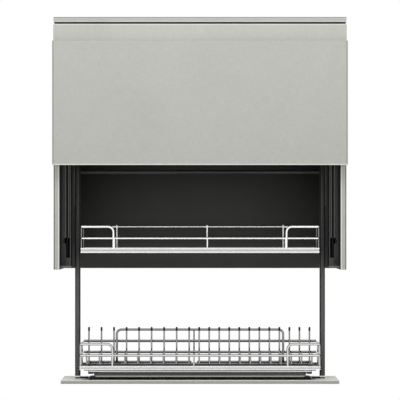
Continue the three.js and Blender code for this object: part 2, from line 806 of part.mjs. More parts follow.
function buildBottomPanel() {
  const zs = [panelTop - panelThickness, panelTop]
  add('bottom_panel', slab([-panelHalf, panelHalf], [panelFront, panelBack], zs), board)
  const matHalf = panelHalf - matSideGap
  const matYs = [panelFront + matFrontGap, panelBack - matBackGap]
  const outline = roundedRectangle([-matHalf, matHalf], matYs, matCornerRadius)
  const low = panelTop + fitGap
  add('panel_mat', prism('z', outline, low, low + matThickness), rubber)
}

// The flat band that runs round the foot of a basket
function band(half, low, height) {
  const inset = hoopRadius - bandThickness / 2
  const outerXs = [-half + inset, half - inset]
  const outerYs = [basketFront + inset, basketBack - inset]
  const innerXs = [outerXs[0] + bandThickness, outerXs[1] - bandThickness]
  const innerYs = [outerYs[0] + bandThickness, outerYs[1] - bandThickness]
  const outer = roundedRectangle(outerXs, outerYs, cornerBend, bendSteps)
  const inner = roundedRectangle(innerXs, innerYs, cornerBend - bandThickness, bendSteps)
  return prism('z', outer, low, low + height, inner)
}

// A hoop rises from the front of the band, runs to the corner and back along the basket's end
function endHoop(sign, half, bandTop, top) {
  const end = sign * (half - hoopRadius)
  const near = sign * (half - hoopRun)
  const front = basketFront + hoopRadius
  const back = basketBack - hoopRadius
  const corners = [
    [near, front, bandTop - weldOverlap],
    [near, front, top],
    [end, front, top],
    [end, back, top],
    [near, back, top],
  ]
  return wire(corners, hoopRadius, hoopBend)
}

function upright(x, y, low, top, radius = postRadius) {
  return prism('z', circle(x, y, radius, wireSides), low, top)
}

// What both baskets share: a band, a wire half way up, an end hoop at each side and a rear top wire
function basketFrame(half, height, { low, mid, top }, midRadius, backRadius) {
  const bandTop = low + height
  const middle = half - hoopRadius
  const front = basketFront + hoopRadius
  const back = basketBack - hoopRadius
  const midLoop = wireLoop([-middle, middle], [front, back], mid, midRadius, cornerBend)
  const hoops = sides.map(({ sign }) => endHoop(sign, half, bandTop, top))
  const backReach = half - hoopRun + weldOverlap
  const backWire = wire([[-backReach, back, top], [backReach, back, top]], backRadius, 0)
  const endPosts = sides.flatMap(({ sign }) => [0, endPostSpacing].map((along) => {
    return upright(sign * middle, basketFront + endPostOffset + along, bandTop - weldOverlap, top)
  }))
  return [band(half, low, height), midLoop, ...hoops, backWire, ...endPosts]
}

function buildUpperShelf() {
  const low = shelfBandLift
  const bandTop = low + shelfBandHeight
  const mid = low + shelfMidRise
  const top = low + shelfTopRise
  const frame = basketFrame(shelfHalf, shelfBandHeight, { low, mid, top }, midWireRadius, backWireRadius)
  const front = basketFront + hoopRadius
  const back = basketBack - hoopRadius
  const postReach = shelfHalf - shelfPostInset
  const posts = [-postReach, shelfMiddlePost, postReach].flatMap((x) => [
    upright(x, back, bandTop - weldOverlap, top + shelfPostRise, shelfPostRadius),
    upright(x, front, bandTop - weldOverlap, mid, shelfPostRadius),
  ])
  const reach = shelfHalf - hoopRadius
  const floorLift = bandTop - shelfFloorDrop
  const floorPitch = (back - front) / (shelfFloorWires + 1)
  const floor = Array.from({ length: shelfFloorWires }, (_, i) => {
    const y = front + floorPitch * (i + 1)
    return prism('x', circle(y, floorLift, shelfFloorRadius, wireSides), -reach, reach)
  })
  const crossLift = floorLift - shelfFloorRadius - shelfCrossRadius + weldOverlap / 2
  const crossPitch = (2 * reach) / (shelfCrossWires + 1)
  const cross = Array.from({ length: shelfCrossWires }, (_, i) => {
    const x = -reach + crossPitch * (i + 1)
    const outline = circle(x, crossLift, shelfCrossRadius, wireSides)
    return prism('y', outline, front, back)
  })
  add('upper_shelf', join(...frame, ...posts, ...floor, ...cross), chrome)
}

function buildLowerBasket() {
  const low = basketFloor
  const mid = low + basketMidRise
  const top = low + basketTopRise
  const frame = basketFrame(basketHalf, basketBandHeight, { low, mid, top }, hoopRadius, hoopRadius)
  const front = basketFront + hoopRadius
  const back = basketBack - hoopRadius
  const divider = [
    upright(-dividerOffset, back, basketBandTop - weldOverlap, low + dividerRise),
    upright(-dividerOffset, front, basketBandTop - weldOverlap, mid),
  ]
  add('lower_basket', join(...frame, ...divider), chrome)
}

// A comb of floor wires that end in a bar along the basket's back. Each is turned up behind the front
// wires and carries a tall tine.
function comb(start, end, pitch) {
  const count = Math.floor((end - start) / pitch) + 1
  const front = basketFront + 2 * hoopRadius + fitGap + tineRadius
  const legTop = basketFloor + tineFrontLegRise
  const wires = Array.from({ length: count }, (_, i) => start + pitch * i).flatMap((x) => [
    wire([[x, combBarDepth, tineFloor], [x, front, tineFloor], [x, front, legTop]], tineRadius, tineBend),
    upright(x, tineDepth, tineFloor, basketFloor + tineTipRise, tineRadius),
  ])
  const outline = circle(combBarDepth, tineFloor, combBarRadius, wireSides)
  const bar = prism('x', outline, start - combBarReach, start + pitch * (count - 1) + combBarReach)
  return join(bar, ...wires)
}

// The tine rail stands behind the tines, and its feet run back along the floor to the combs' bars
function buildPlateTines() {
  const leftComb = comb(-basketHalf + leftTineEndGap, -dividerOffset, leftTinePitch)
  add('left_plate_tines', leftComb, chrome)
  const rightComb = comb(rightTineStart, basketHalf - rightTineEndGap, rightTinePitch)
  add('right_plate_tines', rightComb, chrome)
  const depth = tineDepth + tineRadius + fitGap + tineRailRadius
  const reach = basketHalf - hoopRun - tineRailInset
  const footEnd = combBarDepth - combBarRadius - fitGap
  const top = basketFloor + tineRailRise
  const corners = [
    [-reach, footEnd, tineFloor],
    [-reach, depth, tineFloor],
    [-reach, depth, top],
    [reach, depth, top],
    [reach, depth, tineFloor],
    [reach, footEnd, tineFloor],
  ]
  add('tine_rail', wire(corners, tineRailRadius, tineRailBend), chrome)
}

// Two runners under the lower basket hold the tray by its rim, with a bar across at each end
function buildTrayFrame() {
  const top = basketFloor - fitGap
  const ledgeTop = trayRimTop - trayWall - trayGap
  const webInner = trayRimHalf + trayGap
  const ys = [basketFront + fitGap, basketBack - runnerBackGap]
  const runners = sides.map(({ sign }) => {
    const x = (distance) => sign * distance
    const outline = [
      [x(webInner), top],
      [x(webInner), ledgeTop],
      [x(webInner - runnerReach), ledgeTop],
      [x(webInner - runnerReach), ledgeTop - runnerWall],
      [x(webInner + runnerWall), ledgeTop - runnerWall],
      [x(webInner + runnerWall), top - runnerWall],
      [x(webInner + runnerFlange), top - runnerWall],
      [x(webInner + runnerFlange), top],
    ]
    return prism('y', outline, ...ys)
  })
  const barReach = webInner + weldOverlap / 2
  const barZs = [top - trayFrameBar - runnerWall, top - runnerWall]
  const bars = [ys[0], ys[1] - trayFrameBar].map((start) => {
    return slab([-barReach, barReach], [start, start + trayFrameBar], barZs)
  })
  add('tray_hanger_frame', join(...runners, ...bars), steel)
}

function buildDripTray() {
  const bottom = trayRimTop - trayHeight
  const half = trayRimHalf - trayRimReach
  const cornerX = half - trayCornerRadius
  const cornerZ = bottom + trayCornerRadius
  const body = (inset, top) => [
    ...arc(cornerX, cornerZ, trayCornerRadius - inset, 3 / 4, 1, arcSteps),
    [half - inset, top],
    [-half + inset, top],
    ...arc(-cornerX, cornerZ, trayCornerRadius - inset, 1 / 2, 3 / 4, arcSteps),
  ]
  const back = basketBack - trayBackGap
  const pan = prism('y', body(0, trayRimTop - trayWall / 2), trayFront, back)
  const rimZs = [trayRimTop - trayWall, trayRimTop]
  const rim = slab([-trayRimHalf, trayRimHalf], [trayFront, back], rimZs)
  const hollow = prism('y', body(trayWall, trayRimTop + overrun), trayFront + trayWall, back - trayWall)
  add('drip_tray', cut(join(pan, rim), hollow), black)
}

buildBoards()
buildFascia()
buildHangers()
for (const side of sides) {
  buildCassette(side)
  buildRackRail(side)
  buildGuideRods(side)
  buildBeltsAndIdlers(side)
}
buildDrive()
buildDoor()
for (const side of sides) {
  buildArm(side)
  buildArmCarriage(side)
}
buildCrossBar()
buildBottomPanel()
buildUpperShelf()
buildLowerBasket()
buildPlateTines()
buildTrayFrame()
buildDripTray()

export default whole
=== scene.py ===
import math
import bmesh
import bpy
from mathutils import Matrix, Vector


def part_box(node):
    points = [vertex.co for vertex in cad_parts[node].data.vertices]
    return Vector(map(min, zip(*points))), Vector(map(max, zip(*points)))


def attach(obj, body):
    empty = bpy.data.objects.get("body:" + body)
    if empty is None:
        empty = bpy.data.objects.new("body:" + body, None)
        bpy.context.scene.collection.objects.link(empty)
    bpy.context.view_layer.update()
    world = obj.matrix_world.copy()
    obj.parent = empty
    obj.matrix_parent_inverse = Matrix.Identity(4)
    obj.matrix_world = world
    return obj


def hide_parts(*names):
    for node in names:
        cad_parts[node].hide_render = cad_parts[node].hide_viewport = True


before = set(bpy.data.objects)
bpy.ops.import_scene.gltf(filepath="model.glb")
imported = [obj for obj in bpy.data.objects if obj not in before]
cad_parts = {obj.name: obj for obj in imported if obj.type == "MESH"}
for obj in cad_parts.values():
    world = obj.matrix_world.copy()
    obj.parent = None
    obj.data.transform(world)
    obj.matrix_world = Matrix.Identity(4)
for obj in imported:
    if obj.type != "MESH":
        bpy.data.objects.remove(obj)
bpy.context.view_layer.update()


# The studio. A level camera stands 8.5 m in front of the cabinet, a little below its middle. The unit
# hangs high above a pale floor, in soft light from above and from both sides, before plain white.
bpy.context.scene.view_settings.view_transform = "Standard"
bpy.ops.object.select_all(action="DESELECT")
bpy.ops.object.camera_add(location=(0, -8.85, -0.448), rotation=(math.pi / 2, 0, 0))
camera = bpy.context.object
camera.data.lens = 249.1
camera.data.sensor_width = 36
camera.data.shift_y = 0.0625
bpy.context.scene.camera = camera


def node(tree, kind, inputs=None, **settings):
    """Adds a node, sets what it is told and links the inputs that are given as sockets."""
    made = tree.nodes.new("ShaderNode" + kind)
    for key, value in settings.items():
        setattr(made, key, value)
    for key, value in (inputs or {}).items():
        if isinstance(value, bpy.types.NodeSocket):
            tree.links.new(value, made.inputs[key])
        else:
            made.inputs[key].default_value = value
    return made


def reckoned(tree, operation, first, second, clamp=False):
    """Works one sum with two values."""
    made = node(tree, "Math", {0: first, 1: second}, operation=operation, use_clamp=clamp)
    return made.outputs["Value"]


def finish_of(name, roughness=0.5, metallic=0.0):
    """Starts a material and gives its nodes and its shader."""
    material = bpy.data.materials.new(name)
    material.use_nodes = True
    shader = material.node_tree.nodes["Principled BSDF"]
    shader.inputs["Roughness"].default_value = roughness
    shader.inputs["Metallic"].default_value = metallic
    return material, material.node_tree, shader


def soft_lamp(name, place, target, width, height, power):
    """Adds a broad lamp that faces its target and isn't seen itself, nor in what shines."""
    bpy.ops.object.light_add(type="AREA", location=place)
    lamp = bpy.context.object
    lamp.name = name
    lamp.data.shape = "RECTANGLE"
    lamp.data.size = width
    lamp.data.size_y = height
    lamp.data.energy = power
    lamp.rotation_euler = (Vector(target) - Vector(place)).to_track_quat("-Z", "Y").to_euler()
    lamp.visible_camera = False
    lamp.visible_glossy = False


soft_lamp("Overhead lamp", (0, -2.6, 3.2), (0, -0.3, -0.4), 4.0, 2.2, 104)
soft_lamp("Left lamp", (-3.6, -3.8, 0.9), (0, -0.2, -0.4), 1.6, 2.6, 4)
soft_lamp("Right lamp", (3.6, -3.8, 0.9), (0, -0.2, -0.4), 1.6, 2.6, 4)

# The world is plain white to the camera. Bright metal sees a pale room before it and white straight
# behind it, with a dark ring between, which draws the fine dark outline that polished wire has.
world = bpy.data.worlds.new("Studio")
bpy.context.scene.world = world
world.use_nodes = True
tree = world.node_tree
tree.nodes.clear()
ray = node(tree, "LightPath").outputs
around = node(tree, "TexCoord").outputs["Generated"]
heading = node(tree, "SeparateXYZ", {"Vector": around}).outputs["Y"]
facing = node(tree, "MapRange", {"Value": heading, "From Min": -1.0, "From Max": 1.0})
ramp = node(tree, "ValToRGB", {"Fac": facing.outputs["Result"]})
ramp.color_ramp.elements[0].color = (0.80, 0.80, 0.79, 1)
ramp.color_ramp.elements[1].color = (1, 1, 1, 1)
for spot, level in ((0.04, 0.86), (0.10, 1.9), (0.20, 1.9), (0.30, 0.01), (0.92, 0.01), (0.96, 1.0)):
    ramp.color_ramp.elements.new(spot).color = (level, level, level, 1)
lit = node(tree, "Background", {"Color": (1.0, 0.995, 0.985, 1), "Strength": 0.62}).outputs[0]
seen = node(tree, "Background", {"Color": (1, 1, 1, 1), "Strength": 1}).outputs[0]
mirrored = node(tree, "Background", {"Color": ramp.outputs["Color"], "Strength": 1}).outputs[0]
bright = node(tree, "MixShader", {0: ray["Is Glossy Ray"], 1: lit, 2: mirrored}).outputs[0]
through = reckoned(tree, "MAXIMUM", ray["Is Camera Ray"], ray["Is Transmission Ray"])
shown = node(tree, "MixShader", {0: through, 1: bright, 2: seen}).outputs[0]
node(tree, "OutputWorld", {"Surface": shown})

bpy.ops.mesh.primitive_plane_add(size=24, location=(0, 0, -1.9))
floor = bpy.context.object
floor.name = "Floor"
floor.visible_glossy = False
floor_paint, tree, shader = finish_of("Floor paint", 0.8)
shader.inputs["Base Color"].default_value = (0.86, 0.86, 0.85, 1)
floor.data.materials.append(floor_paint)


# The two side boards. Each is an 18 mm board in grey laminate with a faint linen press, black on the
# face inside the cabinet. Its front edge has a fine dark joint outside and a pale lipping inside.
def pick(*pieces):
    """Selects these pieces and no others, the first of them as the active one."""
    bpy.ops.object.select_all(action="DESELECT")
    for piece in pieces:
        piece.select_set(True)
    if pieces:
        bpy.context.view_layer.objects.active = pieces[0]


def fresh(name):
    """Names the piece that was just added and gives its mesh the place and size."""
    piece = bpy.context.object
    piece.name = name
    bpy.ops.object.transform_apply()
    return piece


def block(name, low, high):
    """Adds a square block between two corners, or what zip makes of its spans across, deep and high."""
    pick()
    bpy.ops.mesh.primitive_cube_add(size=1, location=(Vector(low) + Vector(high)) / 2)
    bpy.context.object.scale = Vector(high) - Vector(low)
    return fresh(name)


def sided(sign, near, far):
    """The span between two distances from the cabinet's middle, on its left (-1) or right (1) side."""
    return sorted((sign * near, sign * far))


def ends_of(low, high):
    """Where a box beside the cabinet's middle begins and ends across, the nearer end first."""
    return sorted((low[0], high[0]), key=abs)


def change(piece, kind, **settings):
    """Puts a modifier on a piece, sets it and applies it."""
    pick(piece)
    step = piece.modifiers.new("Change", kind)
    for key, value in settings.items():
        setattr(step, key, value)
    bpy.ops.object.modifier_apply(modifier=step.name)


def take_away(piece, cutter, operation="DIFFERENCE"):
    """Cuts one piece with another, which is used up. It can join the two as well."""
    change(piece, "BOOLEAN", object=cutter, operation=operation)
    bpy.data.objects.remove(cutter, do_unlink=True)


def cut(piece, across, deep, high):
    """Cuts a square hole out of a piece, given as three spans."""
    take_away(piece, block("cutter", *zip(across, deep, high)))


def ease(piece, width, segments=2, sharp=30):
    """Rounds the edges of a piece and shades it smooth across them."""
    sharp = math.radians(sharp)
    change(piece, "BEVEL", width=width, segments=segments, limit_method="ANGLE", angle_limit=sharp)
    bpy.ops.object.shade_smooth_by_angle(angle=sharp)


def bisect_at(axis, *places):
    """In edit mode, parts the faces along planes that stand across an axis at these places."""
    normal = Vector([float(axis == letter) for letter in "xyz"])
    for place in places:
        bpy.ops.mesh.select_all(action="SELECT")
        bpy.ops.mesh.bisect(plane_co=normal * place, plane_no=normal)


def mode(kind):
    bpy.ops.object.mode_set(mode=kind)


def parted(piece, axis, *places):
    """Parts a piece's faces along such planes, so that strips of it can be of another material."""
    pick(piece)
    mode("EDIT")
    bisect_at(axis, *places)
    mode("OBJECT")
    return piece


def mark_faces(piece, index, test=lambda at, way: True):
    """Sets which of its materials the faces take whose middle and normal pass the test."""
    for face in piece.data.polygons:
        if test(face.center, face.normal):
            face.material_index = index


def fit(piece, body, materials, *nodes):
    """Gives a finished piece its materials, hangs it on its body and lets it stand for its nodes."""
    for material in materials:
        piece.data.materials.append(material)
    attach(piece, body)
    if nodes:
        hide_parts(*nodes)


def effect(name, outputs, **inputs):
    """Starts a shader node group, with its inputs' values and its outputs' names."""
    group = bpy.data.node_groups.new(name, "ShaderNodeTree")
    for label, value in inputs.items():
        kind = "NodeSocketVector" if isinstance(value, tuple) else "NodeSocketFloat"
        group.interface.new_socket(label, in_out="INPUT", socket_type=kind).default_value = value
    for label in outputs:
        group.interface.new_socket(label, in_out="OUTPUT", socket_type="NodeSocketFloat")
    return group, group.nodes.new("NodeGroupInput").outputs, group.nodes.new("NodeGroupOutput").inputs


def place_effect(tree, group, **inputs):
    """Puts a shared node group into a material and gives its outputs."""
    return node(tree, "Group", inputs, node_tree=group).outputs


def blended(tree, share, first, second):
    """Mixes two colours by a share."""
    return node(tree, "Mix", {0: share, 6: first, 7: second}, data_type="RGBA").outputs[2]


def ranged(tree, value, low, high, start=0.0, end=1.0):
    """Carries a value from the range start to end over to the range low to high."""
    inputs = {"Value": value, "From Min": start, "From Max": end, "To Min": low, "To Max": high}
    return node(tree, "MapRange", inputs).outputs["Result"]


def own_place(tree):
    return node(tree, "TexCoord").outputs["Object"]


def stretched_noise(tree, scale, detail=2.0):
    """A noise on the piece's own coordinates, stretched by its three scales."""
    spread = node(tree, "Mapping", {"Vector": own_place(tree), "Scale": scale}).outputs["Vector"]
    return node(tree, "TexNoise", {"Vector": spread, "Scale": 1.0, "Detail": detail}).outputs["Fac"]


def tinted(tone, share=1.0, lift=0.0):
    """A paler or darker tint of a colour."""
    return [min(1, channel * share + lift) for channel in tone] + [1]


def surface(made, pattern, tints, relief, depth, size, dust=None, painted_light=None, wear=None, rough=None):
    """Builds a finish up: two tints in a pattern, dust in patches, a painted-light fade by height, rubbed
    edges, relief.
    """
    material, tree, shader = made
    patches = place_effect(tree, smudges, Size=size)["Mask"]
    colour = blended(tree, pattern, *tints)
    if dust:
        share, tint = dust
        colour = blended(tree, ranged(tree, patches, 0.0, share), colour, tint)
    if painted_light:
        # Painted light: the colour turns towards a paler tint between two heights, standing in for how light
        # falls.
        share, upper, lower, tint = painted_light
        height = node(tree, "SeparateXYZ", {"Vector": own_place(tree)}).outputs["Z"]
        colour = blended(tree, ranged(tree, height, 0.0, share, upper, lower), colour, tint)
    if wear:
        width, share, tint = wear
        edges = place_effect(tree, edge_wear, Width=width)["Mask"]
        colour = blended(tree, ranged(tree, edges, 0.0, share), colour, tint)
    if rough:
        tree.links.new(ranged(tree, patches, *rough), shader.inputs["Roughness"])
    tree.links.new(colour, shader.inputs["Base Color"])
    bump = node(tree, "Bump", {"Height": relief, "Distance": depth})
    tree.links.new(bump.outputs["Normal"], shader.inputs["Normal"])
    return material


linen_press, ins, ends = effect("Linen press", ["Height", "Shade"], Contrast=1.0)
weft = stretched_noise(linen_press, (38, 38, 620))
warp = stretched_noise(linen_press, (620, 620, 38))
cloth = reckoned(linen_press, "ADD", weft, warp)
middle = reckoned(linen_press, "SUBTRACT", cloth, 1.0)
spread = reckoned(linen_press, "MULTIPLY", middle, ins["Contrast"])
linen_press.links.new(cloth, ends["Height"])
linen_press.links.new(reckoned(linen_press, "ADD", spread, 0.5, True), ends["Shade"])

edge_wear, ins, ends = effect("Edge wear", ["Mask"], Width=0.001)
rounded = node(edge_wear, "Bevel", {"Radius": ins["Width"]}, samples=4).outputs["Normal"]
flat = node(edge_wear, "NewGeometry").outputs["Normal"]
alike = node(edge_wear, "VectorMath", {0: rounded, 1: flat}, operation="DOT_PRODUCT")
turned_away = ranged(edge_wear, alike.outputs["Value"], 1.0, 0.0, 0.80, 0.985)
patches = ranged(edge_wear, stretched_noise(edge_wear, (70, 70, 70), 4.0), 0.15, 1.0, 0.35, 0.65)
edge_wear.links.new(reckoned(edge_wear, "MULTIPLY", turned_away, patches, True), ends["Mask"])

smudges, ins, ends = effect("Smudges", ["Mask"], Size=12.0)
broad = node(smudges, "TexNoise", {"Vector": own_place(smudges), "Scale": ins["Size"], "Detail": 5.0,
                                   "Roughness": 0.6, "Distortion": 0.6})
smudges.links.new(ranged(smudges, broad.outputs["Fac"], 0.0, 1.0, 0.35, 0.68), ends["Mask"])


def laminate(name, tone, contrast=1.0):
    """Grey laminate with a pressed linen surface, rubbed a little paler along its edges."""
    made = finish_of(name)
    made[2].inputs["Specular IOR Level"].default_value = 0.35
    press = place_effect(made[1], linen_press, Contrast=contrast)
    return surface(made, press["Shade"], (tinted(tone, 0.93), tinted(tone, 1.07)), press["Height"], 0.00012,
                   5.0, dust=(0.10, (0.30, 0.30, 0.28, 1)), wear=(0.0014, 0.4, (0.68, 0.69, 0.66, 1)),
                   rough=(0.42, 0.55))


def dark_board(name, tone, painted_light=None):
    """Black board: matt, with a fine even grain and a few pale scuffs. Its lower part may be painted paler,
    as painted light.
    """
    made = finish_of(name)
    made[2].inputs["Specular IOR Level"].default_value = 0.3
    grain = stretched_noise(made[1], (900, 900, 900), 3.0)
    return surface(made, grain, (tinted(tone, 0.7), tinted(tone, 1.3)), grain, 0.00006, 9.0,
                   dust=(0.06, (0.16, 0.16, 0.15, 1)), painted_light=painted_light, rough=(0.50, 0.66))


side_laminate = laminate("Side laminate", (0.485, 0.50, 0.455))
black_laminate = dark_board("Black laminate", (0.022, 0.022, 0.020))
side_lipping = laminate("Side lipping", (0.76, 0.77, 0.73), 0.5)
both_sides = (("left", -1), ("right", 1))
spare = 0.01
lipping, joint_start, joint_end, joint_depth = 0.0040, 0.0020, 0.0034, 0.0012
for name, sign in both_sides:
    low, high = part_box(f"{name}_side_panel")
    board = block(f"side_board_{name}", low, high)
    inner, outer = ends_of(low, high)
    parted(board, "x", inner + sign * lipping)
    joint = sorted((outer - sign * joint_start, outer - sign * joint_end))
    cut(board, joint, (low[1] - 0.001, low[1] + joint_depth), (low[2] - 0.001, high[2] + 0.001))
    ease(board, 0.0006)
    mark_faces(board, 1, lambda at, way: way.x * -sign > 0.9 and abs(at.x) < 0.434)
    mark_faces(board, 1, lambda at, way: joint[0] - 1e-5 < at.x < joint[1] + 1e-5
               and low[1] + 2e-4 < at.y < low[1] + 0.002)
    mark_faces(board, 2, lambda at, way: way.y < -0.5 and abs(at.x) < abs(inner) + lipping)
    fit(board, "cabinet", [side_laminate, black_laminate, side_lipping], f"{name}_side_panel")


# The top board and the black spacer under it. The top is a paler laminate board whose front edge has a pale
# lipping below and a dark glue joint above. The spacer is black packing, and its black also stands as painted
# shade for the shadow in the gap under the top.
def plain_board(name, node_name, material, width=0.0006, segments=2):
    """A board of the node's size with eased edges, fixed to the cabinet."""
    board = block(name, *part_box(node_name))
    ease(board, width, segments)
    fit(board, "cabinet", [material], node_name)


top_laminate = laminate("Top laminate", (0.535, 0.545, 0.51))
# Pale lipping; on the bottom panel the same finish is a painted highlight along its top front edge.
pale_lipping_and_highlight = laminate("Pale lipping and highlight", (0.74, 0.75, 0.72), 0.4)
top_joint = laminate("Top joint", (0.24, 0.245, 0.23), 0.5)
low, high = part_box("top_panel")
lip, joint = low[2] + 0.0030, high[2] - 0.0022
top_board = parted(block("top_board", low, high), "z", lip, joint)
ease(top_board, 0.0006)
mark_faces(top_board, 1, lambda at, way: way.y < -0.5 and at.z < lip)
mark_faces(top_board, 2, lambda at, way: way.y < -0.5 and at.z > joint)
fit(top_board, "cabinet", [top_laminate, pale_lipping_and_highlight, top_joint], "top_panel")
# Painted shade: the spacer is black for the shadow in the gap under the top.
plain_board("spacer_strip", "spacer_board", black_laminate)


# The back board and the hanging rail. The back is a thin black board let in between the sides. The rail
# behind it is a plain strip that the two steel hangers hook over on the wall.
# Painted light on the back board: it is painted paler downwards, from 0.30 m to 0.42 m below the origin,
# below the shade that the door casts at its top.
back_painted_light = (0.14, -0.30, -0.42, (0.24, 0.24, 0.23, 1))
plain_board("back_board", "back_panel", dark_board("Back laminate", (0.013, 0.013, 0.012), back_painted_light))
low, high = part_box("hanging_rail")
wall_rail = block("wall_rail", low, high)
for across in (-0.30, 0.0, 0.30):
    pick()
    bpy.ops.mesh.primitive_cylinder_add(vertices=24, radius=0.004, depth=0.006, rotation=(math.pi / 2, 0, 0),
                                        location=(across, high[1], (low[2] + high[2]) / 2))
    take_away(wall_rail, bpy.context.object)
ease(wall_rail, 0.0008)
fit(wall_rail, "cabinet", [side_laminate], "hanging_rail")


# The fascia. A fixed laminate board closes the front above the raised door. Its upper edge has a pale
# lipping, a fine seam stands near each end, and two notches below let the door's tongues pass.
low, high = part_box("fascia_panel")
lip = high[2] - 0.0030
seam, seam_depth, notch, notch_top = (0.4427, 0.4437), 0.0006, (0.4035, 0.4155), low[2] + 0.0157
fascia = parted(block("fascia_board", low, high), "z", lip)
for sign in (-1, 1):
    cut(fascia, sided(sign, *seam), (low[1] - spare, low[1] + seam_depth), (low[2] - spare, high[2] + spare))
    cut(fascia, sided(sign, *notch), (low[1] - spare, high[1] + spare), (low[2] - spare, notch_top))
ease(fascia, 0.00028)
mark_faces(fascia, 1, lambda at, way: way.y < -0.5 and at.z > lip)
fascia_laminate = laminate("Fascia laminate", (0.57, 0.58, 0.535))
fit(fascia, "cabinet", [fascia_laminate, pale_lipping_and_highlight], "fascia_panel")


# The two hangers. Each is a strip of 3 mm zinc-plated steel, folded into a hook over the wall's own rail
# and screwed to the cabinet with two pan-head screws.
def select_parts(piece, test, kind="VERT"):
    """In edit mode, selects the corners, edges or faces whose middle passes the test."""
    bpy.ops.mesh.select_mode(type=kind)
    bpy.ops.mesh.select_all(action="DESELECT")
    shape = bmesh.from_edit_mesh(piece.data)
    for part in {"VERT": shape.verts, "EDGE": shape.edges, "FACE": shape.faces}[kind]:
        corners = [part] if kind == "VERT" else part.verts
        if test(sum((corner.co for corner in corners), Vector()) / len(corners)):
            part.select_set(True)
    shape.select_flush_mode()
    bmesh.update_edit_mesh(piece.data)


def finish_shell():
    """Turns all faces outward and leaves edit mode."""
    bpy.ops.mesh.select_all(action="SELECT")
    bpy.ops.mesh.normals_make_consistent(inside=False)
    mode("OBJECT")


def extrude(by):
    bpy.ops.mesh.extrude_region_move(TRANSFORM_OT_translate={"value": by})


def folded_sheet(name, corners, run, thickness):
    """Folds a strip of sheet along its corners, as long as the run, and gives it its thickness."""
    corners = [Vector(corner) for corner in corners]
    run = Vector(run)
    pick()
    bpy.ops.mesh.primitive_plane_add(size=1)
    sheet = fresh(name)
    first, second = corners[:2]
    for vertex, place in zip(sheet.data.vertices, (first, second, first + run, second + run)):
        vertex.co = place
    mode("EDIT")
    for before, corner in zip(corners[1:], corners[2:]):
        select_parts(sheet, lambda at: (at - before).length < 1e-5 or (at - before - run).length < 1e-5)
        bpy.ops.mesh.select_mode(type="EDGE")
        extrude(corner - before)
    finish_shell()
    change(sheet, "SOLIDIFY", thickness=thickness, offset=0.0, use_even_offset=True)
    return sheet


def joined(pieces, name, materials=()):
    """Joins pieces that are fixed to each other for good into one, with one list of materials."""
    for piece in pieces:
        for material in materials:
            piece.data.materials.append(material)
    pick(*pieces)
    bpy.ops.object.join()
    pieces[0].name = name
    return pieces[0]


def screw_head(at, way, radius, height):
    """A low pan head with a cross recess, standing on the point that it is given."""
    at, way = Vector(at), Vector(way)
    turn = way.to_track_quat("Z", "Y").to_euler()
    pick()
    bpy.ops.mesh.primitive_cylinder_add(vertices=20, radius=radius, depth=height,
                                        location=at + way * height / 2, rotation=turn)
    head = fresh("head")
    reach, width = radius * 1.1, radius * 0.24
    for long, short in ((reach, width), (width, reach)):
        slot = block("slot", (-long / 2, -short / 2, -height / 2), (long / 2, short / 2, height / 2))
        slot.rotation_euler = turn
        slot.location = at + way * height
        bpy.ops.object.transform_apply()
        take_away(head, slot)
    ease(head, min(radius * 0.10, height * 0.2), 2, 40)
    return head


brushed, ins, ends = effect("Brushed streaks", ["Streak"], Stretch=(400.0, 400.0, 8.0))
drawn = node(brushed, "VectorMath", {0: own_place(brushed), 1: ins["Stretch"]}, operation="MULTIPLY")
lines = node(brushed, "TexNoise", {"Vector": drawn.outputs["Vector"], "Scale": 1.0, "Detail": 3.0})
brushed.links.new(lines.outputs["Fac"], ends["Streak"])


def metal(name, tone, roughness, stretch, metallic=1.0, streak=0.10):
    """Bare or coated metal with fine drawn streaks, fingermarks and brighter edges."""
    made = finish_of(name, roughness, metallic)
    lines = place_effect(made[1], brushed, Stretch=stretch)["Streak"]
    return surface(made, lines, (tinted(tone, 1 - streak), tinted(tone, 1 + streak)), lines, 0.00003, 14.0,
                   wear=(0.0007, 0.55, tinted(tone, 1.5, 0.04)), rough=(roughness, roughness + 0.14))


zinc = metal("Zinc plate", (0.56, 0.57, 0.58), 0.32, (60.0, 60.0, 500.0))
sheet, hook_drop = 0.003, 0.026
for name in ("left", "right"):
    low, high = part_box(f"{name}_hanger")
    wall_face, hook_face, ridge = low[1] + sheet / 2, high[1] - sheet / 2, high[2] - sheet / 2
    corners = [(low[0], wall_face, low[2]), (low[0], wall_face, ridge), (low[0], hook_face, ridge),
               (low[0], hook_face, high[2] - hook_drop)]
    hook = folded_sheet("hook", corners, (high[0] - low[0], 0, 0), sheet)
    ease(hook, 0.0008)
    middle = (low[0] + high[0]) / 2
    heads = [screw_head((middle + across, low[1] + sheet, low[2] + 0.012), (0, 1, 0), 0.0034, 0.0018)
             for across in (-0.015, 0.015)]
    fit(joined([hook, *heads], f"wall_hook_{name}"), "cabinet", [zinc], f"{name}_hanger")


# The two cassettes. Each is a channel of black anodised aluminium, screwed to the side board. The door's
# tongue runs in the slot of its front, which ends below in a wider gate. Beads stiffen the slot's lips.
def turned_bar(name, start, end, radius, sides=32, chamfer=0.0008):
    """A round bar between two points, with small chamfers turned on its ends."""
    start, end = Vector(start), Vector(end)
    pick()
    bpy.ops.mesh.primitive_cylinder_add(vertices=sides, radius=radius, depth=(end - start).length,
                                        location=(start + end) / 2,
                                        rotation=(end - start).to_track_quat("Z", "Y").to_euler())
    bar = fresh(name)
    ease(bar, chamfer, 2, 40)
    return bar


def cross_bar(name, start, end, centre, radius, sides=32, chamfer=0.0008):
    """A round bar that lies across the cabinet, on a centre in depth and height."""
    return turned_bar(name, (start, *centre), (end, *centre), radius, sides, chamfer)


def round_node(name):
    """The corners of a round node that lies across, its centre in depth and height, and its radius."""
    low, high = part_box(name)
    return low, high, ((low[1] + high[1]) / 2, (low[2] + high[2]) / 2), (high[2] - low[2]) / 2


def bore(piece, low, high, centre, radius, sides=32):
    """Drills a round hole through a piece, all the way across."""
    take_away(piece, cross_bar("bore", low[0] - spare, high[0] + spare, centre, radius, sides, 0.0001))


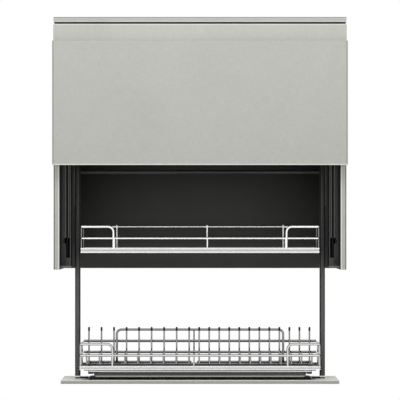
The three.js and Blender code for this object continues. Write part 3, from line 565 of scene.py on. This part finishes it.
def open_channel(name, low, high, sign):
    """Folds an upright channel from sheet, open towards the middle of the cabinet."""
    inner, outer = ends_of(low, high)
    web, front, back = outer - sign * wall / 2, low[1] + wall / 2, high[1] - wall / 2
    corners = [(inner, front, low[2]), (web, front, low[2]), (web, back, low[2]), (inner, back, low[2])]
    return folded_sheet(name, corners, (0, 0, high[2] - low[2]), wall)


drawn_down = (500.0, 500.0, 6.0)
anodised = metal("Black anodised aluminium", (0.017, 0.017, 0.016), 0.45, drawn_down, 0.3, 0.14)
anodised_bead = metal("Anodised bead", (0.090, 0.090, 0.086), 0.38, drawn_down, 0.45, 0.10)
anodised_plate = metal("Anodised plate", (0.036, 0.036, 0.034), 0.45, drawn_down, 0.3, 0.10)
foot_grey = metal("Foot grey", (0.17, 0.17, 0.16), 0.5, (90.0, 90.0, 90.0), 0.0, 0.04)
# Painted shade: a near-black copy of the anodising for the faces inside the channels.
cassette_shade_black = metal("Unlit black aluminium", (0.006, 0.006, 0.006), 0.6, drawn_down, 0.2, 0.10)
wall, shaft_bore, underside = 0.002, 0.0055, -0.5854
slot_low, slot_high, slot_start, slot_end = underside + 0.080, underside + 0.7154, 0.4070, 0.4120
gate_low, gate_top = underside + 0.037, underside + 0.097
gate_start, gate_neck, gate_end = 0.4019, 0.4129, 0.4219
rod_half, rod_slot = 0.004, (underside + 0.199, underside + 0.6469)
for name, sign in both_sides:
    low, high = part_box(f"{name}_cassette_channel")
    inner, outer = ends_of(low, high)
    channel = open_channel("channel", low, high, sign)
    for near, far, bottom, top in ((slot_start, slot_end, slot_low - 0.002, slot_high),
                                   (gate_start, gate_end, slot_low, gate_top),
                                   (gate_start, gate_neck, gate_low, slot_low + 0.001)):
        cut(channel, sided(sign, near, far), (low[1] - spare, low[1] + 0.006), (bottom, top))
    ease(channel, 0.0004, 2, 40)
    cap = block("cap", (min(inner, outer) + 0.0022, low[1] + 0.0005, high[2] - wall),
                (max(inner, outer) - 0.0022, high[1] - 0.0005, high[2] - 0.0001))
    ease(cap, 0.0003)
    axles = [cross_bar("axle", sign * 0.4166, outer - sign * 0.001, centre, 0.004)
             for centre in (round_node(f"{name}_{use}_idler")[2] for use in ("door", "rack"))]
    # Painted shade: the channel's inside faces are near-black.
    mark_faces(channel, 1, lambda at, way: at.y > low[1] + 0.0004
               and (way.y < -0.5 or abs(way.x) > 0.5 or abs(way.z) > 0.5))
    channel = joined([channel, cap, *axles], f"cassette_{name}", [anodised, cassette_shade_black])
    fit(channel, "cabinet", [], f"{name}_cassette_channel")
    seat = low[1] + 0.0004
    beads = [block("bead", *zip(span, (low[1] - 0.0011, seat), (gate_top + 0.002, high[2] - 0.004)))
             for span in (sided(sign, 0.4131, 0.4159), sided(sign, 0.4040, 0.4067))]
    beads.append(block("plate", *zip(sided(sign, 0.4005, 0.4135), (low[1] - 0.0008, seat),
                                     (low[2] + 0.001, gate_low - 0.001))))
    for bead in beads:
        ease(bead, 0.0005)
    mark_faces(beads[-1], 1)
    fit(joined(beads, f"cassette_beads_{name}", [anodised_bead, anodised_plate]), "cabinet", [])

    low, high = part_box(f"{name}_cassette_cover")
    cover = block("cover", low, high)
    lower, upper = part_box(f"{name}_rack_guide_rod")
    rod = (lower[1] + upper[1]) / 2
    cut(cover, (low[0] - spare, high[0] + spare), (rod - rod_half, rod + rod_half), rod_slot)
    for use in ("door", "rack"):
        bore(cover, low, high, round_node(f"{use}_drive_shaft")[2], shaft_bore)
    ease(cover, 0.0004, 2, 40)
    mark_faces(cover, 1, lambda at, way: way.y < -0.5 and at.y < low[1] + 0.001)
    heads = [screw_head((ends_of(low, high)[0], depth, low[2] + lift), (-sign, 0, 0), 0.003, 0.0009)
             for depth in (low[1] + 0.009, high[1] - 0.009) for lift in (0.06, 0.38, 0.66)]
    # Painted shade: the lid inside the channel is near-black, apart from its front face.
    cover = joined([cover, *heads], f"cassette_lid_{name}", [cassette_shade_black, anodised_bead])
    fit(cover, "cabinet", [], f"{name}_cassette_cover")
    plain_board(f"cassette_end_{name}", f"{name}_cassette_foot", foot_grey, 0.0009, 3)


# The two rack rails. Black U-channels beside the cassettes, open towards the arms, in which the arms'
# sliders run. A slot down each web lets the slider reach the rod inside the cassette.
for name, sign in both_sides:
    low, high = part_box(f"{name}_rack_rail")
    rail = open_channel(f"rack_channel_{name}", low, high, sign)
    web = ends_of(low, high)[1] - sign * wall / 2
    middle = (low[1] + high[1]) / 2
    cut(rail, (web - 0.003, web + 0.003), (middle - rod_half, middle + rod_half), rod_slot)
    ease(rail, 0.0004, 2, 40)
    fit(rail, "cabinet", [anodised], f"{name}_rack_rail")


# The four guide rods. Blackened steel bars, 7 mm for the door and 10 mm for the rack, are held upright in
# the cassettes between the foot and the cap.
black_steel = metal("Blackened steel", (0.008, 0.008, 0.008), 0.55, (300.0, 300.0, 900.0), 0.3, 0.08)
for name in ("left", "right"):
    for use in ("door", "rack"):
        low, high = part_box(f"{name}_{use}_guide_rod")
        across, depth = (low[0] + high[0]) / 2, (low[1] + high[1]) / 2
        rod = turned_bar(f"{use}_rod_{name}", (across, depth, low[2]), (across, depth, high[2]),
                         (high[0] - low[0]) / 2)
        fit(rod, "cabinet", [black_steel], f"{name}_{use}_guide_rod")


# The belt drives. Four toothed rubber belts run in the cassettes round pulleys on two cross shafts above
# and round plastic idlers below. The belts are drawn still and so stay on the cabinet.
def moulded(name, tone, roughness, grain_scale=1400.0):
    """Moulded plastic with a fine spark-eroded grain, paler where its edges are rubbed."""
    made = finish_of(name, roughness)
    grain = stretched_noise(made[1], (grain_scale, grain_scale, grain_scale))
    return surface(made, grain, (tinted(tone, 0.93), tinted(tone, 1.05)), grain, 0.00004, 10.0,
                   wear=(0.0008, 0.4, tinted(tone, 1.3, 0.02)), rough=(roughness, roughness + 0.12))


def dress(material, *nodes):
    """Gives CAD nodes that stay as they are a material of their own."""
    for name in nodes:
        for slot in bpy.data.objects[name].material_slots:
            slot.material = material


rubber_dust = (0.2, 0.2, 0.19, 1)
made = finish_of("Belt rubber", 0.75)
waves = {"Vector": own_place(made[1]), "Scale": 62.0}
teeth = node(made[1], "TexWave", waves, bands_direction="Z").outputs["Fac"]
belt_rubber = surface(made, teeth, ((0.012, 0.012, 0.012, 1), (0.030, 0.030, 0.030, 1)), teeth, 0.0006, 20.0,
                      dust=(0.10, rubber_dust))
dress(belt_rubber, "left_door_belt", "right_door_belt", "left_rack_belt", "right_rack_belt")

pulley_grey = moulded("Pulley grey", (0.30, 0.30, 0.29), 0.42)
ground_steel = metal("Ground steel", (0.62, 0.62, 0.63), 0.18, (300.0, 300.0, 900.0), 1.0, 0.05)
running_gap = 0.0002
for name, sign in both_sides:
    for use in ("door", "rack"):
        low, high, centre, radius = round_node(f"{name}_{use}_idler")
        idler = cross_bar(f"{use}_idler_{name}", low[0], high[0], centre, radius - running_gap, 48, 0.0006)
        bore(idler, low, high, centre, 0.0045)
        ring = radius * 0.66
        for turn in range(6):
            angle = turn * math.pi / 3
            spot = (centre[0] + math.cos(angle) * ring, centre[1] + math.sin(angle) * ring)
            bore(idler, low, high, spot, radius * 0.17, 16)
        pick(idler)
        bpy.ops.object.shade_smooth_by_angle(angle=math.radians(30))
        fit(idler, f"{name}_{use}_pulley", [pulley_grey], f"{name}_{use}_idler")

for use in ("door", "rack"):
    low, high, centre, radius = round_node(f"{use}_drive_shaft")
    parts = [cross_bar("shaft", low[0] + running_gap, high[0] - running_gap, centre, 0.005)]
    for sign in (-1, 1):
        parts += [cross_bar("wheel", sign * 0.4168, sign * 0.4272, centre, radius - running_gap, 48, 0.0005),
                  cross_bar("hub", sign * 0.4125, sign * 0.4169, centre, 0.0078, 32, 0.0005)]
    fit(joined(parts, f"{use}_cross_shaft"), f"{use}_shaft", [ground_steel], f"{use}_drive_shaft")


# The drive. A folded steel shelf behind the fascia carries both gearboxes with their motors, the control
# box and the socket for the supply. Everything on it is screwed down through its web.
low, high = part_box("drive_shelf")
front, back, web = low[1] + wall / 2, high[1] - wall / 2, low[2] + wall / 2
corners = [(low[0], front, high[2]), (low[0], front, web), (low[0], back, web), (low[0], back, high[2])]
drive_shelf = folded_sheet("drive_tray", corners, (high[0] - low[0], 0, 0), wall)
ease(drive_shelf, 0.0005, 2, 40)
fit(drive_shelf, "cabinet", [zinc], "drive_shelf")

cast_grey = metal("Cast grey", (0.30, 0.30, 0.29), 0.5, (260.0, 260.0, 260.0), 0.5, 0.10)
motor_black = metal("Motor black", (0.09, 0.09, 0.09), 0.42, (8.0, 420.0, 420.0), 0.6, 0.12)
rib_depth, rib_width, screw_inset, recess_depth, seat_depth = 0.0012, 0.0016, 0.009, 0.0016, 0.0018
for use, sign in (("door", 1), ("rack", -1)):
    low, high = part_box(f"{use}_gearbox")
    housing = block("housing", low, high)
    ease(housing, 0.003, 3)
    for edge in (low[0], high[0]):
        for depth in (low[1] + 0.02, low[1] + 0.05):
            cut(housing, (edge - rib_depth, edge + rib_depth), (depth, depth + rib_width),
                (low[2] + 0.004, high[2] - 0.004))
    bore(housing, low, high, round_node(f"{use}_drive_shaft")[2], shaft_bore)
    heads = []
    for across in (low[0] + screw_inset, high[0] - screw_inset):
        for depth in (low[1] + screw_inset, high[1] - screw_inset):
            take_away(housing, turned_bar("recess", (across, depth, high[2] - recess_depth),
                                          (across, depth, high[2] + spare), 0.0045, 24, 0.0001))
            heads.append(screw_head((across, depth, high[2] - seat_depth), (0, 0, 1), 0.0034, 0.0014))
    fit(joined([housing, *heads], f"{use}_gear_housing"), "cabinet", [cast_grey], f"{use}_gearbox")

    low, high, centre, radius = round_node(f"{use}_motor")
    near, far = ends_of(low, high)
    flange_end, cap_start = near + sign * 0.008, far - sign * 0.0145
    parts = [cross_bar("flange", near, flange_end, centre, radius, 48, 0.001),
             cross_bar("can", flange_end - sign * 0.0005, cap_start + sign * 0.0005, centre, radius - 0.0025,
                       48, 0.002),
             cross_bar("cap", cap_start, far, centre, radius - 0.001, 48, 0.003)]
    fit(joined(parts, f"{use}_drive_motor"), "cabinet", [motor_black], f"{use}_motor")

low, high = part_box("control_box")
control = block("control_case", low, high)
vent_pitch, vent_half = 0.008, 0.0014
for vent in range(9):
    across = -0.032 + vent * vent_pitch
    cut(control, (across - vent_half, across + vent_half), (low[1] + 0.015, high[1] - 0.015),
        (high[2] - 0.002, high[2] + spare))
ease(control, 0.0022, 3)
fit(control, "cabinet", [moulded("Control black", (0.03, 0.03, 0.03), 0.5)], "control_box")
low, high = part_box("power_inlet")
socket = block("supply_socket", low, high)
cut(socket, (low[0] + 0.003, high[0] - 0.003), (low[1] + 0.004, high[1] - 0.003),
    (high[2] - 0.012, high[2] + spare))
ease(socket, 0.0008)
fit(socket, "cabinet", [pulley_grey], "power_inlet")


# The door. A 20 mm board in grey laminate, raised in front of the fascia. Its ends are painted darker, as
# shade along its end edges, and a bright strip along its foot is a painted highlight. Two steel brackets are
# screwed to its back, and their tongues pass into the cassettes.
door_laminate = laminate("Door laminate", (0.485, 0.495, 0.460), 1.8)
door_foot_highlight = laminate("Door foot highlight", (0.84, 0.845, 0.82), 0.3)
door_end_shade = laminate("Door end shade", (0.36, 0.37, 0.345), 0.6)
low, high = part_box("door_panel")
lip, side, tongue_low, tongue_high = low[2] + 0.0032, high[0] - 0.0052, low[2] + 0.040, low[2] + 0.040 + 0.018
door = parted(parted(block("door_board", low, high), "z", lip), "x", -side, side)
ease(door, 0.0010, 3)
# Painted shade on the ends and a painted highlight along the foot.
mark_faces(door, 2, lambda at, way: abs(at.x) > side)
mark_faces(door, 1, lambda at, way: way.y < -0.3 and at.z < lip)
fit(door, "door", [door_laminate, door_foot_highlight, door_end_shade], "door_panel")

bracket_steel = metal("Bracket steel", (0.16, 0.16, 0.165), 0.38, (60.0, 60.0, 400.0), 0.8)
plate_deep, tongue_half = 0.0027, 0.0018
for name in ("left", "right"):
    low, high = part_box(f"{name}_door_bracket")
    plate = block("plate", low, (high[0], low[1] + plate_deep, high[2]))
    middle = (low[0] + high[0]) / 2
    tongue = block("tongue", (middle - tongue_half, low[1] + 0.001, tongue_low),
                   (middle + tongue_half, high[1], tongue_high))
    take_away(plate, tongue, "UNION")
    ease(plate, 0.0006, 2, 40)
    heads = [screw_head((middle, low[1] + plate_deep - 0.0001, lift), (0, 1, 0), 0.0036, 0.0005)
             for lift in (low[2] + 0.010, high[2] - 0.012)]
    fit(joined([plate, *heads], f"door_plate_{name}"), "door", [bracket_steel], f"{name}_door_bracket")
dress(moulded("Carrier black", (0.025, 0.025, 0.025), 0.4), "left_door_carrier", "right_door_carrier")


# The two arms. Dark powder-coated bars, 16 by 30 mm, hang from their carriages and carry the baskets on small
# welded tabs; the coat is painted paler towards their lower ends, as painted light. A groove and a rebate run
# down the front of each, painted black inside as painted shade. A pale foot closes its lower end and stands
# on a black plate that is screwed to the bottom panel; the plate's black is painted contact shadow under the
# foot.
def coated(name, tone, roughness, painted_light=None):
    """Powder coat with a fine orange peel, dusty patches and paler edges. It may be painted paler towards its
    lower end, as painted light.
    """
    made = finish_of(name, roughness, 0.15)
    peel = stretched_noise(made[1], (1100, 1100, 1100))
    return surface(made, peel, (tinted(tone, 0.9), tinted(tone, 1.1)), peel, 0.00005, 7.0,
                   dust=(0.10, coat_dust_and_light), painted_light=painted_light, wear=(0.0009, 0.5, tinted(tone, 1.6, 0.02)),
                   rough=(roughness, roughness + 0.14))


coat_dust_and_light = (0.30, 0.30, 0.29, 1)
# Painted light on the arms: their coat is painted paler towards their lower ends, below the cabinet's shade.
arm_coat = coated("Arm coat", (0.032, 0.032, 0.031), 0.42, (0.13, -0.54, -0.62, coat_dust_and_light))
painted_shade_black = moulded("Painted shade black", (0.006, 0.006, 0.006), 0.8)
foot_white = moulded("Foot white", (0.98, 0.98, 0.96), 0.4)
arm_inner, arm_outer, groove_depth = 0.373, 0.389, 0.0012
side_wall, front_wall, tab_height, plate_height = 0.0036, 0.0025, 0.003, 0.0034
for name, sign in both_sides:
    low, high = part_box(f"{name}_arm")
    arm = block("arm", *zip(sided(sign, arm_inner, arm_outer), (low[1], high[1]), (low[2], high[2])))
    whole = (low[2] - spare, high[2] + spare)
    grooves = [sided(sign, arm_inner + 0.0009, arm_inner + 0.0034),
               sided(sign, arm_inner + 0.0136, arm_inner + 0.0170)]
    for groove in grooves:
        cut(arm, groove, (low[1] - 0.001, low[1] + groove_depth), whole)
    cut(arm, sided(sign, arm_inner + side_wall, arm_outer - side_wall),
        (low[1] + front_wall, high[1] - front_wall), whole)
    ease(arm, 0.0004)
    # Painted shade: the faces inside the groove and the rebate are painted black.
    for near, far in grooves:
        mark_faces(arm, 1, lambda at, way: near - 1e-4 < at.x < far + 1e-4
                   and low[1] + 3e-4 < at.y < low[1] + groove_depth + 2e-4)
    middle = (low[1] + high[1]) / 2
    tabs = []
    for basket in ("upper_shelf", "lower_basket"):
        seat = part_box(basket)[0][2] - 0.0003
        tabs.append(block("tab", *zip(sided(sign, arm_inner - 0.016, arm_inner + 0.001),
                                      (middle - 0.010, middle + 0.010), (seat - tab_height, seat))))
        ease(tabs[-1], 0.0008)
    fit(joined([arm, *tabs], f"lift_arm_{name}", [arm_coat, painted_shade_black]), "rack", [], f"{name}_arm")

    low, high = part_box(f"{name}_arm_foot")
    foot = block("foot", (low[0], low[1], low[2] + plate_height - 0.0002), high)
    ease(foot, 0.0012, 3)
    plate = block("plate", *zip(sided(sign, 0.3485, 0.3889), (low[1], high[1]),
                                (low[2], low[2] + plate_height)))
    ease(plate, 0.0004)
    # Painted shadow: the plate under the foot is black, as contact shadow.
    mark_faces(plate, 1)
    fit(joined([foot, plate], f"arm_pad_{name}", [foot_white, painted_shade_black]), "rack", [], f"{name}_arm_foot")
dress(moulded("Slider grey", (0.20, 0.20, 0.19), 0.4), "left_arm_carriage", "right_arm_carriage")

# The cross bar. A powder-coated steel tube ties the two arms near their tops, with a collar at each end.
low, high, centre, radius = round_node("cross_bar")
parts = [cross_bar("bar", low[0], high[0], centre, radius, 40)]
parts += [cross_bar("collar", sign * 0.3727, sign * 0.3695, centre, radius + 0.0015, 40, 0.0006)
          for sign in (-1, 1)]
fit(joined(parts, "tie_bar"), "rack", [coated("Bar coat", (0.024, 0.024, 0.023), 0.5)], "cross_bar")


# The bottom panel. A laminate board hangs on the arms' feet and closes the cabinet's base when the rack is
# up. A thin black rubber mat with a raised rim lies on it; its black is painted shadow, standing for the
# shade that the drip tray casts on the panel.
panel_laminate = laminate("Panel laminate", (0.76, 0.77, 0.725))
panel_front_shade = laminate("Panel front shade", (0.37, 0.38, 0.35), 0.6)
low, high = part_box("bottom_panel")
lip = high[2] - 0.0016
panel = parted(block("base_board", low, high), "z", lip)
ease(panel, 0.0006)
# Painted shade and highlight: the panel's front face is painted darker as shade, and the edge above it paler
# as a highlight.
mark_faces(panel, 1, lambda at, way: way.y < -0.5 and at.z < lip)
mark_faces(panel, 2, lambda at, way: way.y < -0.1 and at.z > lip)
fit(panel, "rack", [panel_laminate, panel_front_shade, pale_lipping_and_highlight], "bottom_panel")

# Painted shadow: the mat is black where the tray's shadow falls on the panel.
made = finish_of("Mat rubber in painted shadow", 0.7)
cells = node(made[1], "TexVoronoi", {"Vector": own_place(made[1]), "Scale": 260.0}).outputs["Distance"]
mat_rubber_shadow = surface(made, cells, ((0.020, 0.020, 0.020, 1), (0.042, 0.042, 0.040, 1)), cells, 0.0003, 12.0,
                     dust=(0.12, rubber_dust))
low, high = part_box("panel_mat")
mat = block("shadow_mat", low, high)
mode("EDIT")
select_parts(mat, lambda at: abs(at.z - (low[2] + high[2]) / 2) < 1e-5, "EDGE")
bpy.ops.mesh.bevel(offset=0.020, segments=8, affect="EDGES")
select_parts(mat, lambda at: at.z > high[2] - 1e-5, "FACE")
bpy.ops.mesh.inset(thickness=0.006, depth=0)
bpy.ops.mesh.inset(thickness=0.0012, depth=-0.0010)
mode("OBJECT")
ease(mat, 0.0004)
fit(mat, "rack", [mat_rubber_shadow], "panel_mat")


# The upper shelf. A welded basket of bright chromed wire: a ribbed flat band round its foot, a wire half
# way up, a thick hoop round each end, a thin wire along the back, and floor wires that cups stand on.
def wire(corners, radius, bends=0, sides=16, steps=5, closed=False, name="wire"):
    """Draws a round wire through its corners: runs are extruded, bends are spun. One bend may serve all."""
    points = [Vector(corner) for corner in corners]
    if closed:
        points = [(points[0] + points[-1]) / 2] + points + [(points[0] + points[-1]) / 2]
    way = (points[1] - points[0]).normalized()
    pick()
    bpy.ops.mesh.primitive_circle_add(vertices=sides, radius=radius, location=points[0],
                                      rotation=way.to_track_quat("Z", "Y").to_euler())
    rod = fresh(name)
    mode("EDIT")
    bpy.ops.mesh.select_mode(type="VERT")
    bpy.ops.mesh.select_all(action="SELECT")
    at = points[0]
    if not isinstance(bends, tuple):
        bends = (bends,) * len(points)
    for before, corner, after, bend in zip(points, points[1:], points[2:], bends):
        arriving, leaving = (corner - before).normalized(), (after - corner).normalized()
        angle = arriving.angle(leaving)
        reach = bend * math.tan(angle / 2)
        start = corner - arriving * reach
        extrude(start - at)
        inward = (leaving - arriving * leaving.dot(arriving)).normalized()
        bpy.ops.mesh.spin(steps=steps, angle=angle, center=start + inward * bend, axis=inward.cross(arriving))
        at = corner + leaving * reach
    extrude(points[-1] - at)
    bpy.ops.mesh.select_all(action="SELECT")
    if closed:
        bpy.ops.mesh.remove_doubles(threshold=0.00005)
    else:
        bpy.ops.mesh.fill_holes(sides=0)
    finish_shell()
    bpy.ops.object.shade_smooth_by_angle(angle=math.radians(40))
    return rod


def upright(across, depth, bottom, top, radius):
    return wire([(across, depth, bottom), (across, depth, top)], radius)


def ribbed_band(low, high, thickness, corner, groove):
    """A flat band bent into a ring, with a shallow groove rolled along the middle of its outside."""
    band = block("band", low, high)
    middle = (low[2] + high[2]) / 2
    mode("EDIT")
    select_parts(band, lambda at: abs(at.z - middle) > 0.001, "FACE")
    bpy.ops.mesh.delete(type="ONLY_FACE")
    select_parts(band, lambda at: abs(at.z - middle) < 0.0001 and abs(at.x) > high[0] - 0.001, "EDGE")
    bpy.ops.mesh.bevel(offset=corner, segments=8, affect="EDGES")
    bisect_at("z", middle - 0.5 * groove, middle + 0.5 * groove)
    select_parts(band, lambda at: abs(at.z - middle) < groove * 0.3, "FACE")
    inward = {"value": -0.0010, "use_even_offset": True}
    bpy.ops.mesh.extrude_region_shrink_fatten(TRANSFORM_OT_shrink_fatten=inward)
    finish_shell()
    change(band, "SOLIDIFY", thickness=thickness, offset=-1.0)
    ease(band, 0.0006, 2, 50)
    mark_faces(band, 1, lambda at, way: abs(at.z - middle) < groove * 0.5)
    # Painted shade: the band's top and far faces take the darker chrome.
    mark_faces(band, 2, lambda at, way: way.z > 0.5 or at.y > low[1] + 0.012)
    return band


def basket_frame(half, front, back, band_low, band_top, mid, top, middle_radius, back_radius):
    """What both baskets share: band, middle wire, end hoops, end posts and the wire along the back."""
    inset, tight_bend = 0.0004, 0.0045
    parts = [ribbed_band((-half + inset, front + inset, band_low), (half - inset, back - inset, band_top),
                         thick, tight_bend, (band_top - band_low) * 0.36)]
    end, near_y, far_y = half - thick, front + thick, back - thick
    ring = [(end, near_y, mid), (end, far_y, mid), (-end, far_y, mid), (-end, near_y, mid)]
    parts.append(wire(ring, middle_radius, tight_bend, closed=True))
    for sign in (-1, 1):
        near, far = sign * (half - hoop_reach), sign * end
        hoop = [(near, near_y, band_top - sunk), (near, near_y, top), (far, near_y, top), (far, far_y, top),
                (near, far_y, top)]
        parts.append(wire(hoop, thick, (0.016, tight_bend, tight_bend, 0.016)))
        for along in (0.018, 0.155):
            parts.append(upright(far, front + along, band_top - sunk, top, thin))
            # Painted shade: the end posts take the darker chrome.
            mark_faces(parts[-1], 2)
    reach = half - hoop_reach + 0.002
    parts.append(wire([(-reach, far_y, top), (reach, far_y, top)], back_radius))
    return parts


def chrome_of(name, tone, roughness):
    """Polished chrome on wire, a little clouded by water marks, which also dull it in spots."""
    made = finish_of(name, roughness, 1.0)
    tree, shader = made[1:]
    spots = stretched_noise(tree, (160, 160, 160), 4.0)
    dulled = ranged(tree, spots, roughness * 0.7, roughness * 1.6, 0.3, 0.7)
    tree.links.new(dulled, shader.inputs["Roughness"])
    return surface(made, 0.0, (tinted(tone), tinted(tone)), spots, 0.00002, 30.0,
                   dust=(0.5, tinted(tone, 0.88)))


chrome = chrome_of("Chromed wire", (0.97, 0.97, 0.96), 0.27)
rim_chrome = chrome_of("Rim wire", (0.62, 0.62, 0.61), 0.04)
# Darker copies of the chrome, here and below, are painted shade on wires that less light reaches.
grey_chrome_shade = chrome_of("Chrome in painted shade", (0.24, 0.24, 0.24), 0.16)
thick, thin, post_radius, rung_radius = 0.004, 0.0025, 0.0028, 0.002
sunk, hoop_reach = 0.002, 0.103
low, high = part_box("upper_shelf")
half, front, back = high[0], low[1], high[1]
band_low, band_top, mid, top = low[2], low[2] + 0.0155, low[2] + 0.0447, low[2] + 0.0804
near_y, far_y = front + thick, back - thick
parts = basket_frame(half, front, back, band_low, band_top, mid, top, 0.003, thin)
for across in (-0.263, 0.0225, 0.263):
    parts.append(upright(across, far_y, band_top - sunk, high[2], post_radius))
    parts.append(upright(across, near_y, band_top - sunk, mid, post_radius))
floor_lift = band_top - 0.006
gaps = 9
pitch = (back - front - 2 * thick) / gaps
for step in range(1, gaps):
    depth = near_y + pitch * step
    rung = [(-half + thick, depth, floor_lift), (half - thick, depth, floor_lift)]
    parts.append(wire(rung, rung_radius, 0, 12))
    # Painted shade: the floor wires take the darker chrome.
    mark_faces(parts[-1], 2)
under = floor_lift - rung_radius - thin + 0.001
for across in (-0.1825, 0.0, 0.1825):
    parts.append(wire([(across, near_y, under), (across, far_y, under)], thin, 0, 12))
fit(joined(parts, "cup_shelf", [chrome, rim_chrome, grey_chrome_shade]), "rack", [], "upper_shelf")


# The lower basket. It is welded like the shelf above it but has no floor of its own: two combs of wires
# lie in it. A short post in front and a tall one behind divide it.
low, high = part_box("lower_basket")
half, front, back = high[0], low[1], high[1]
band_low, band_top, mid, top = low[2], low[2] + 0.0113, low[2] + 0.0442, low[2] + 0.0792
parts = basket_frame(half, front, back, band_low, band_top, mid, top, thick, thick)
divider = -0.0189
parts.append(upright(divider, back - thick, band_top - sunk, high[2], thin))
parts.append(upright(divider, front + thick, band_top - sunk, mid, thin))
# Painted shade: a darker copy of the chrome for the wires along the back.
rear_chrome_shade = chrome_of("Rear chrome in painted shade", (0.33, 0.33, 0.33), 0.04)
basket = joined(parts, "plate_basket", [chrome, rim_chrome, rear_chrome_shade])
mark_faces(basket, 1, lambda at, way: at.z > band_top)
# Painted shade: the wires along the back take the darker chrome.
mark_faces(basket, 2, lambda at, way: at.y > back - 0.012)
fit(basket, "rack", [], "lower_basket")


# The plate tines. Two combs of wires lie on the basket's floor, turned up in front behind the rim. A tall
# tine with a black rubber tip stands near the back of each, and a bar along the back ties each comb.
tip_rubber = moulded("Tip rubber", (0.008, 0.008, 0.008), 0.6)
# Painted shade: the combs and the tine rail are a darker copy of the chrome.
comb_chrome_shade = chrome_of("Comb chrome in painted shade", (0.34, 0.34, 0.34), 0.04)
floor_lift = band_top + 0.0003 + thin
tine_depth, tine_top, turn_depth, turn_top = back - 0.050, low[2] + 0.125, front + 0.0108, low[2] + 0.050
bar_depth, bar_radius = back - 0.0093, 0.003
corners = [(0, bar_depth, floor_lift), (0, turn_depth, floor_lift), (0, turn_depth, turn_top)]
turned_up = wire(corners, thin, 0.008, 14)
tall = wire([(0, tine_depth, floor_lift), (0, tine_depth, tine_top - 0.005)], thin, 0, 14)
pattern = joined([turned_up, tall], "comb_pattern")
tip = turned_bar("tip", (0, tine_depth, tine_top - 0.0120), (0, tine_depth, tine_top), 0.0031, 16, 0.0002)
parted(tip, "z", tine_top - 0.0018)
mode("EDIT")
select_parts(tip, lambda at: at.z > tine_top - 0.0004)
bpy.ops.transform.resize(value=(0.55, 0.55, 1.0))
mode("OBJECT")


def repeated(pattern, offset):
    """Copies a pattern with its own mesh and moves the copy's mesh sideways."""
    twin = pattern.copy()
    twin.data = pattern.data.copy()
    bpy.context.collection.objects.link(twin)
    twin.data.transform(Matrix.Translation(Vector((offset, 0, 0))))
    return twin


for name, start, pitch, count in (("left", -0.3488, 0.03936, 9), ("right", -0.0025, 0.0315, 12)):
    wires, tips = ([repeated(used, start + pitch * step) for step in range(count)] for used in (pattern, tip))
    end = start + pitch * (count - 1)
    tie = [(start - 0.007, bar_depth, floor_lift), (end + 0.007, bar_depth, floor_lift)]
    wires.append(wire(tie, bar_radius))
    fit(joined(wires, f"plate_comb_{name}"), "rack", [comb_chrome_shade], f"{name}_plate_tines")
    fit(joined(tips, f"tine_tips_{name}"), "rack", [tip_rubber])
for used in (pattern, tip):
    bpy.data.objects.remove(used, do_unlink=True)


# The tine rail. A bright hoop of 7.2 mm wire stands behind the tall tines and keeps the plates from tipping
# back. Its feet run back along the floor to the combs' bars, and it is welded to the tines.
low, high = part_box("tine_rail")
radius = 0.0036
depth, lift, reach, foot_end = low[1] + radius, high[2] - radius, high[0] - radius, bar_depth - 0.0033
corners = [(-reach, foot_end, floor_lift), (-reach, depth, floor_lift), (-reach, depth, lift),
           (reach, depth, lift), (reach, depth, floor_lift), (reach, foot_end, floor_lift)]
fit(wire(corners, radius, 0.014, 20, 6, name="plate_rail"), "rack", [comb_chrome_shade], "tine_rail")


# The tray's hanger frame. Two folded steel runners under the basket hold the tray by its rim, with a bar
# across at each end.
dark_steel = coated("Dark steel", (0.05, 0.05, 0.05), 0.4)
low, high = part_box("tray_hanger_frame")
rim, bar, bar_top = 0.342, 0.0034, high[2] - wall
ledge, web, flange = low[2] + wall / 2, rim + wall / 2, high[2] - wall / 2
parts = []
for sign in (-1, 1):
    profile = ((rim - 0.013, ledge), (web, ledge), (web, flange), (rim + 0.015, flange))
    corners = [(sign * across, low[1], lift) for across, lift in profile]
    parts.append(folded_sheet("runner", corners, (0, high[1] - low[1], 0), wall))
    ease(parts[-1], 0.0004, 2, 40)
for start in (low[1], high[1] - bar):
    parts.append(block("bar", (-rim - 0.001, start, bar_top - bar), (rim + 0.001, start + bar, bar_top)))
    ease(parts[-1], 0.0006)
    mark_faces(parts[-1], 1)
fit(joined(parts, "tray_runners", [dark_steel, rim_chrome]), "rack", [], "tray_hanger_frame")


# The drip tray. A dark pressed tray with rounded sides and a flat rim at each end, which slides on the
# runners. Its underside is bare and paler.
tray_skin = moulded("Tray skin", (0.045, 0.045, 0.045), 0.35, 900.0)
tray_base = moulded("Tray base", (0.44, 0.44, 0.42), 0.4, 900.0)
low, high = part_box("drip_tray")
body, rim_width, tray_wall = 0.326, 0.015, 0.0015
tray = block("tray", (-body, low[1], low[2]), (body, high[1], high[2] - tray_wall / 2))
mode("EDIT")
select_parts(tray, lambda at: at.z > high[2] - 0.002, "FACE")
bpy.ops.mesh.delete(type="ONLY_FACE")
select_parts(tray, lambda at: at.z < low[2] + 1e-5 and abs(at.x) > body - 1e-4, "EDGE")
bpy.ops.mesh.bevel(offset=0.010, segments=8, affect="EDGES")
for sign in (-1, 1):
    select_parts(tray, lambda at: at.z > high[2] - 0.002 and at.x * sign > body - 1e-4, "EDGE")
    extrude((sign * rim_width, 0, 0))
bisect_at("z", low[2] + 0.0040)
finish_shell()
change(tray, "SOLIDIFY", thickness=tray_wall, offset=0.0, use_even_offset=True)
mark_faces(tray, 1, lambda at, way: at.z < low[2] + 0.0042 and (way.z < -0.05 or way.y < -0.9))
ease(tray, 0.0004, 2, 50)
fit(tray, "tray", [tray_skin, tray_base], "drip_tray")
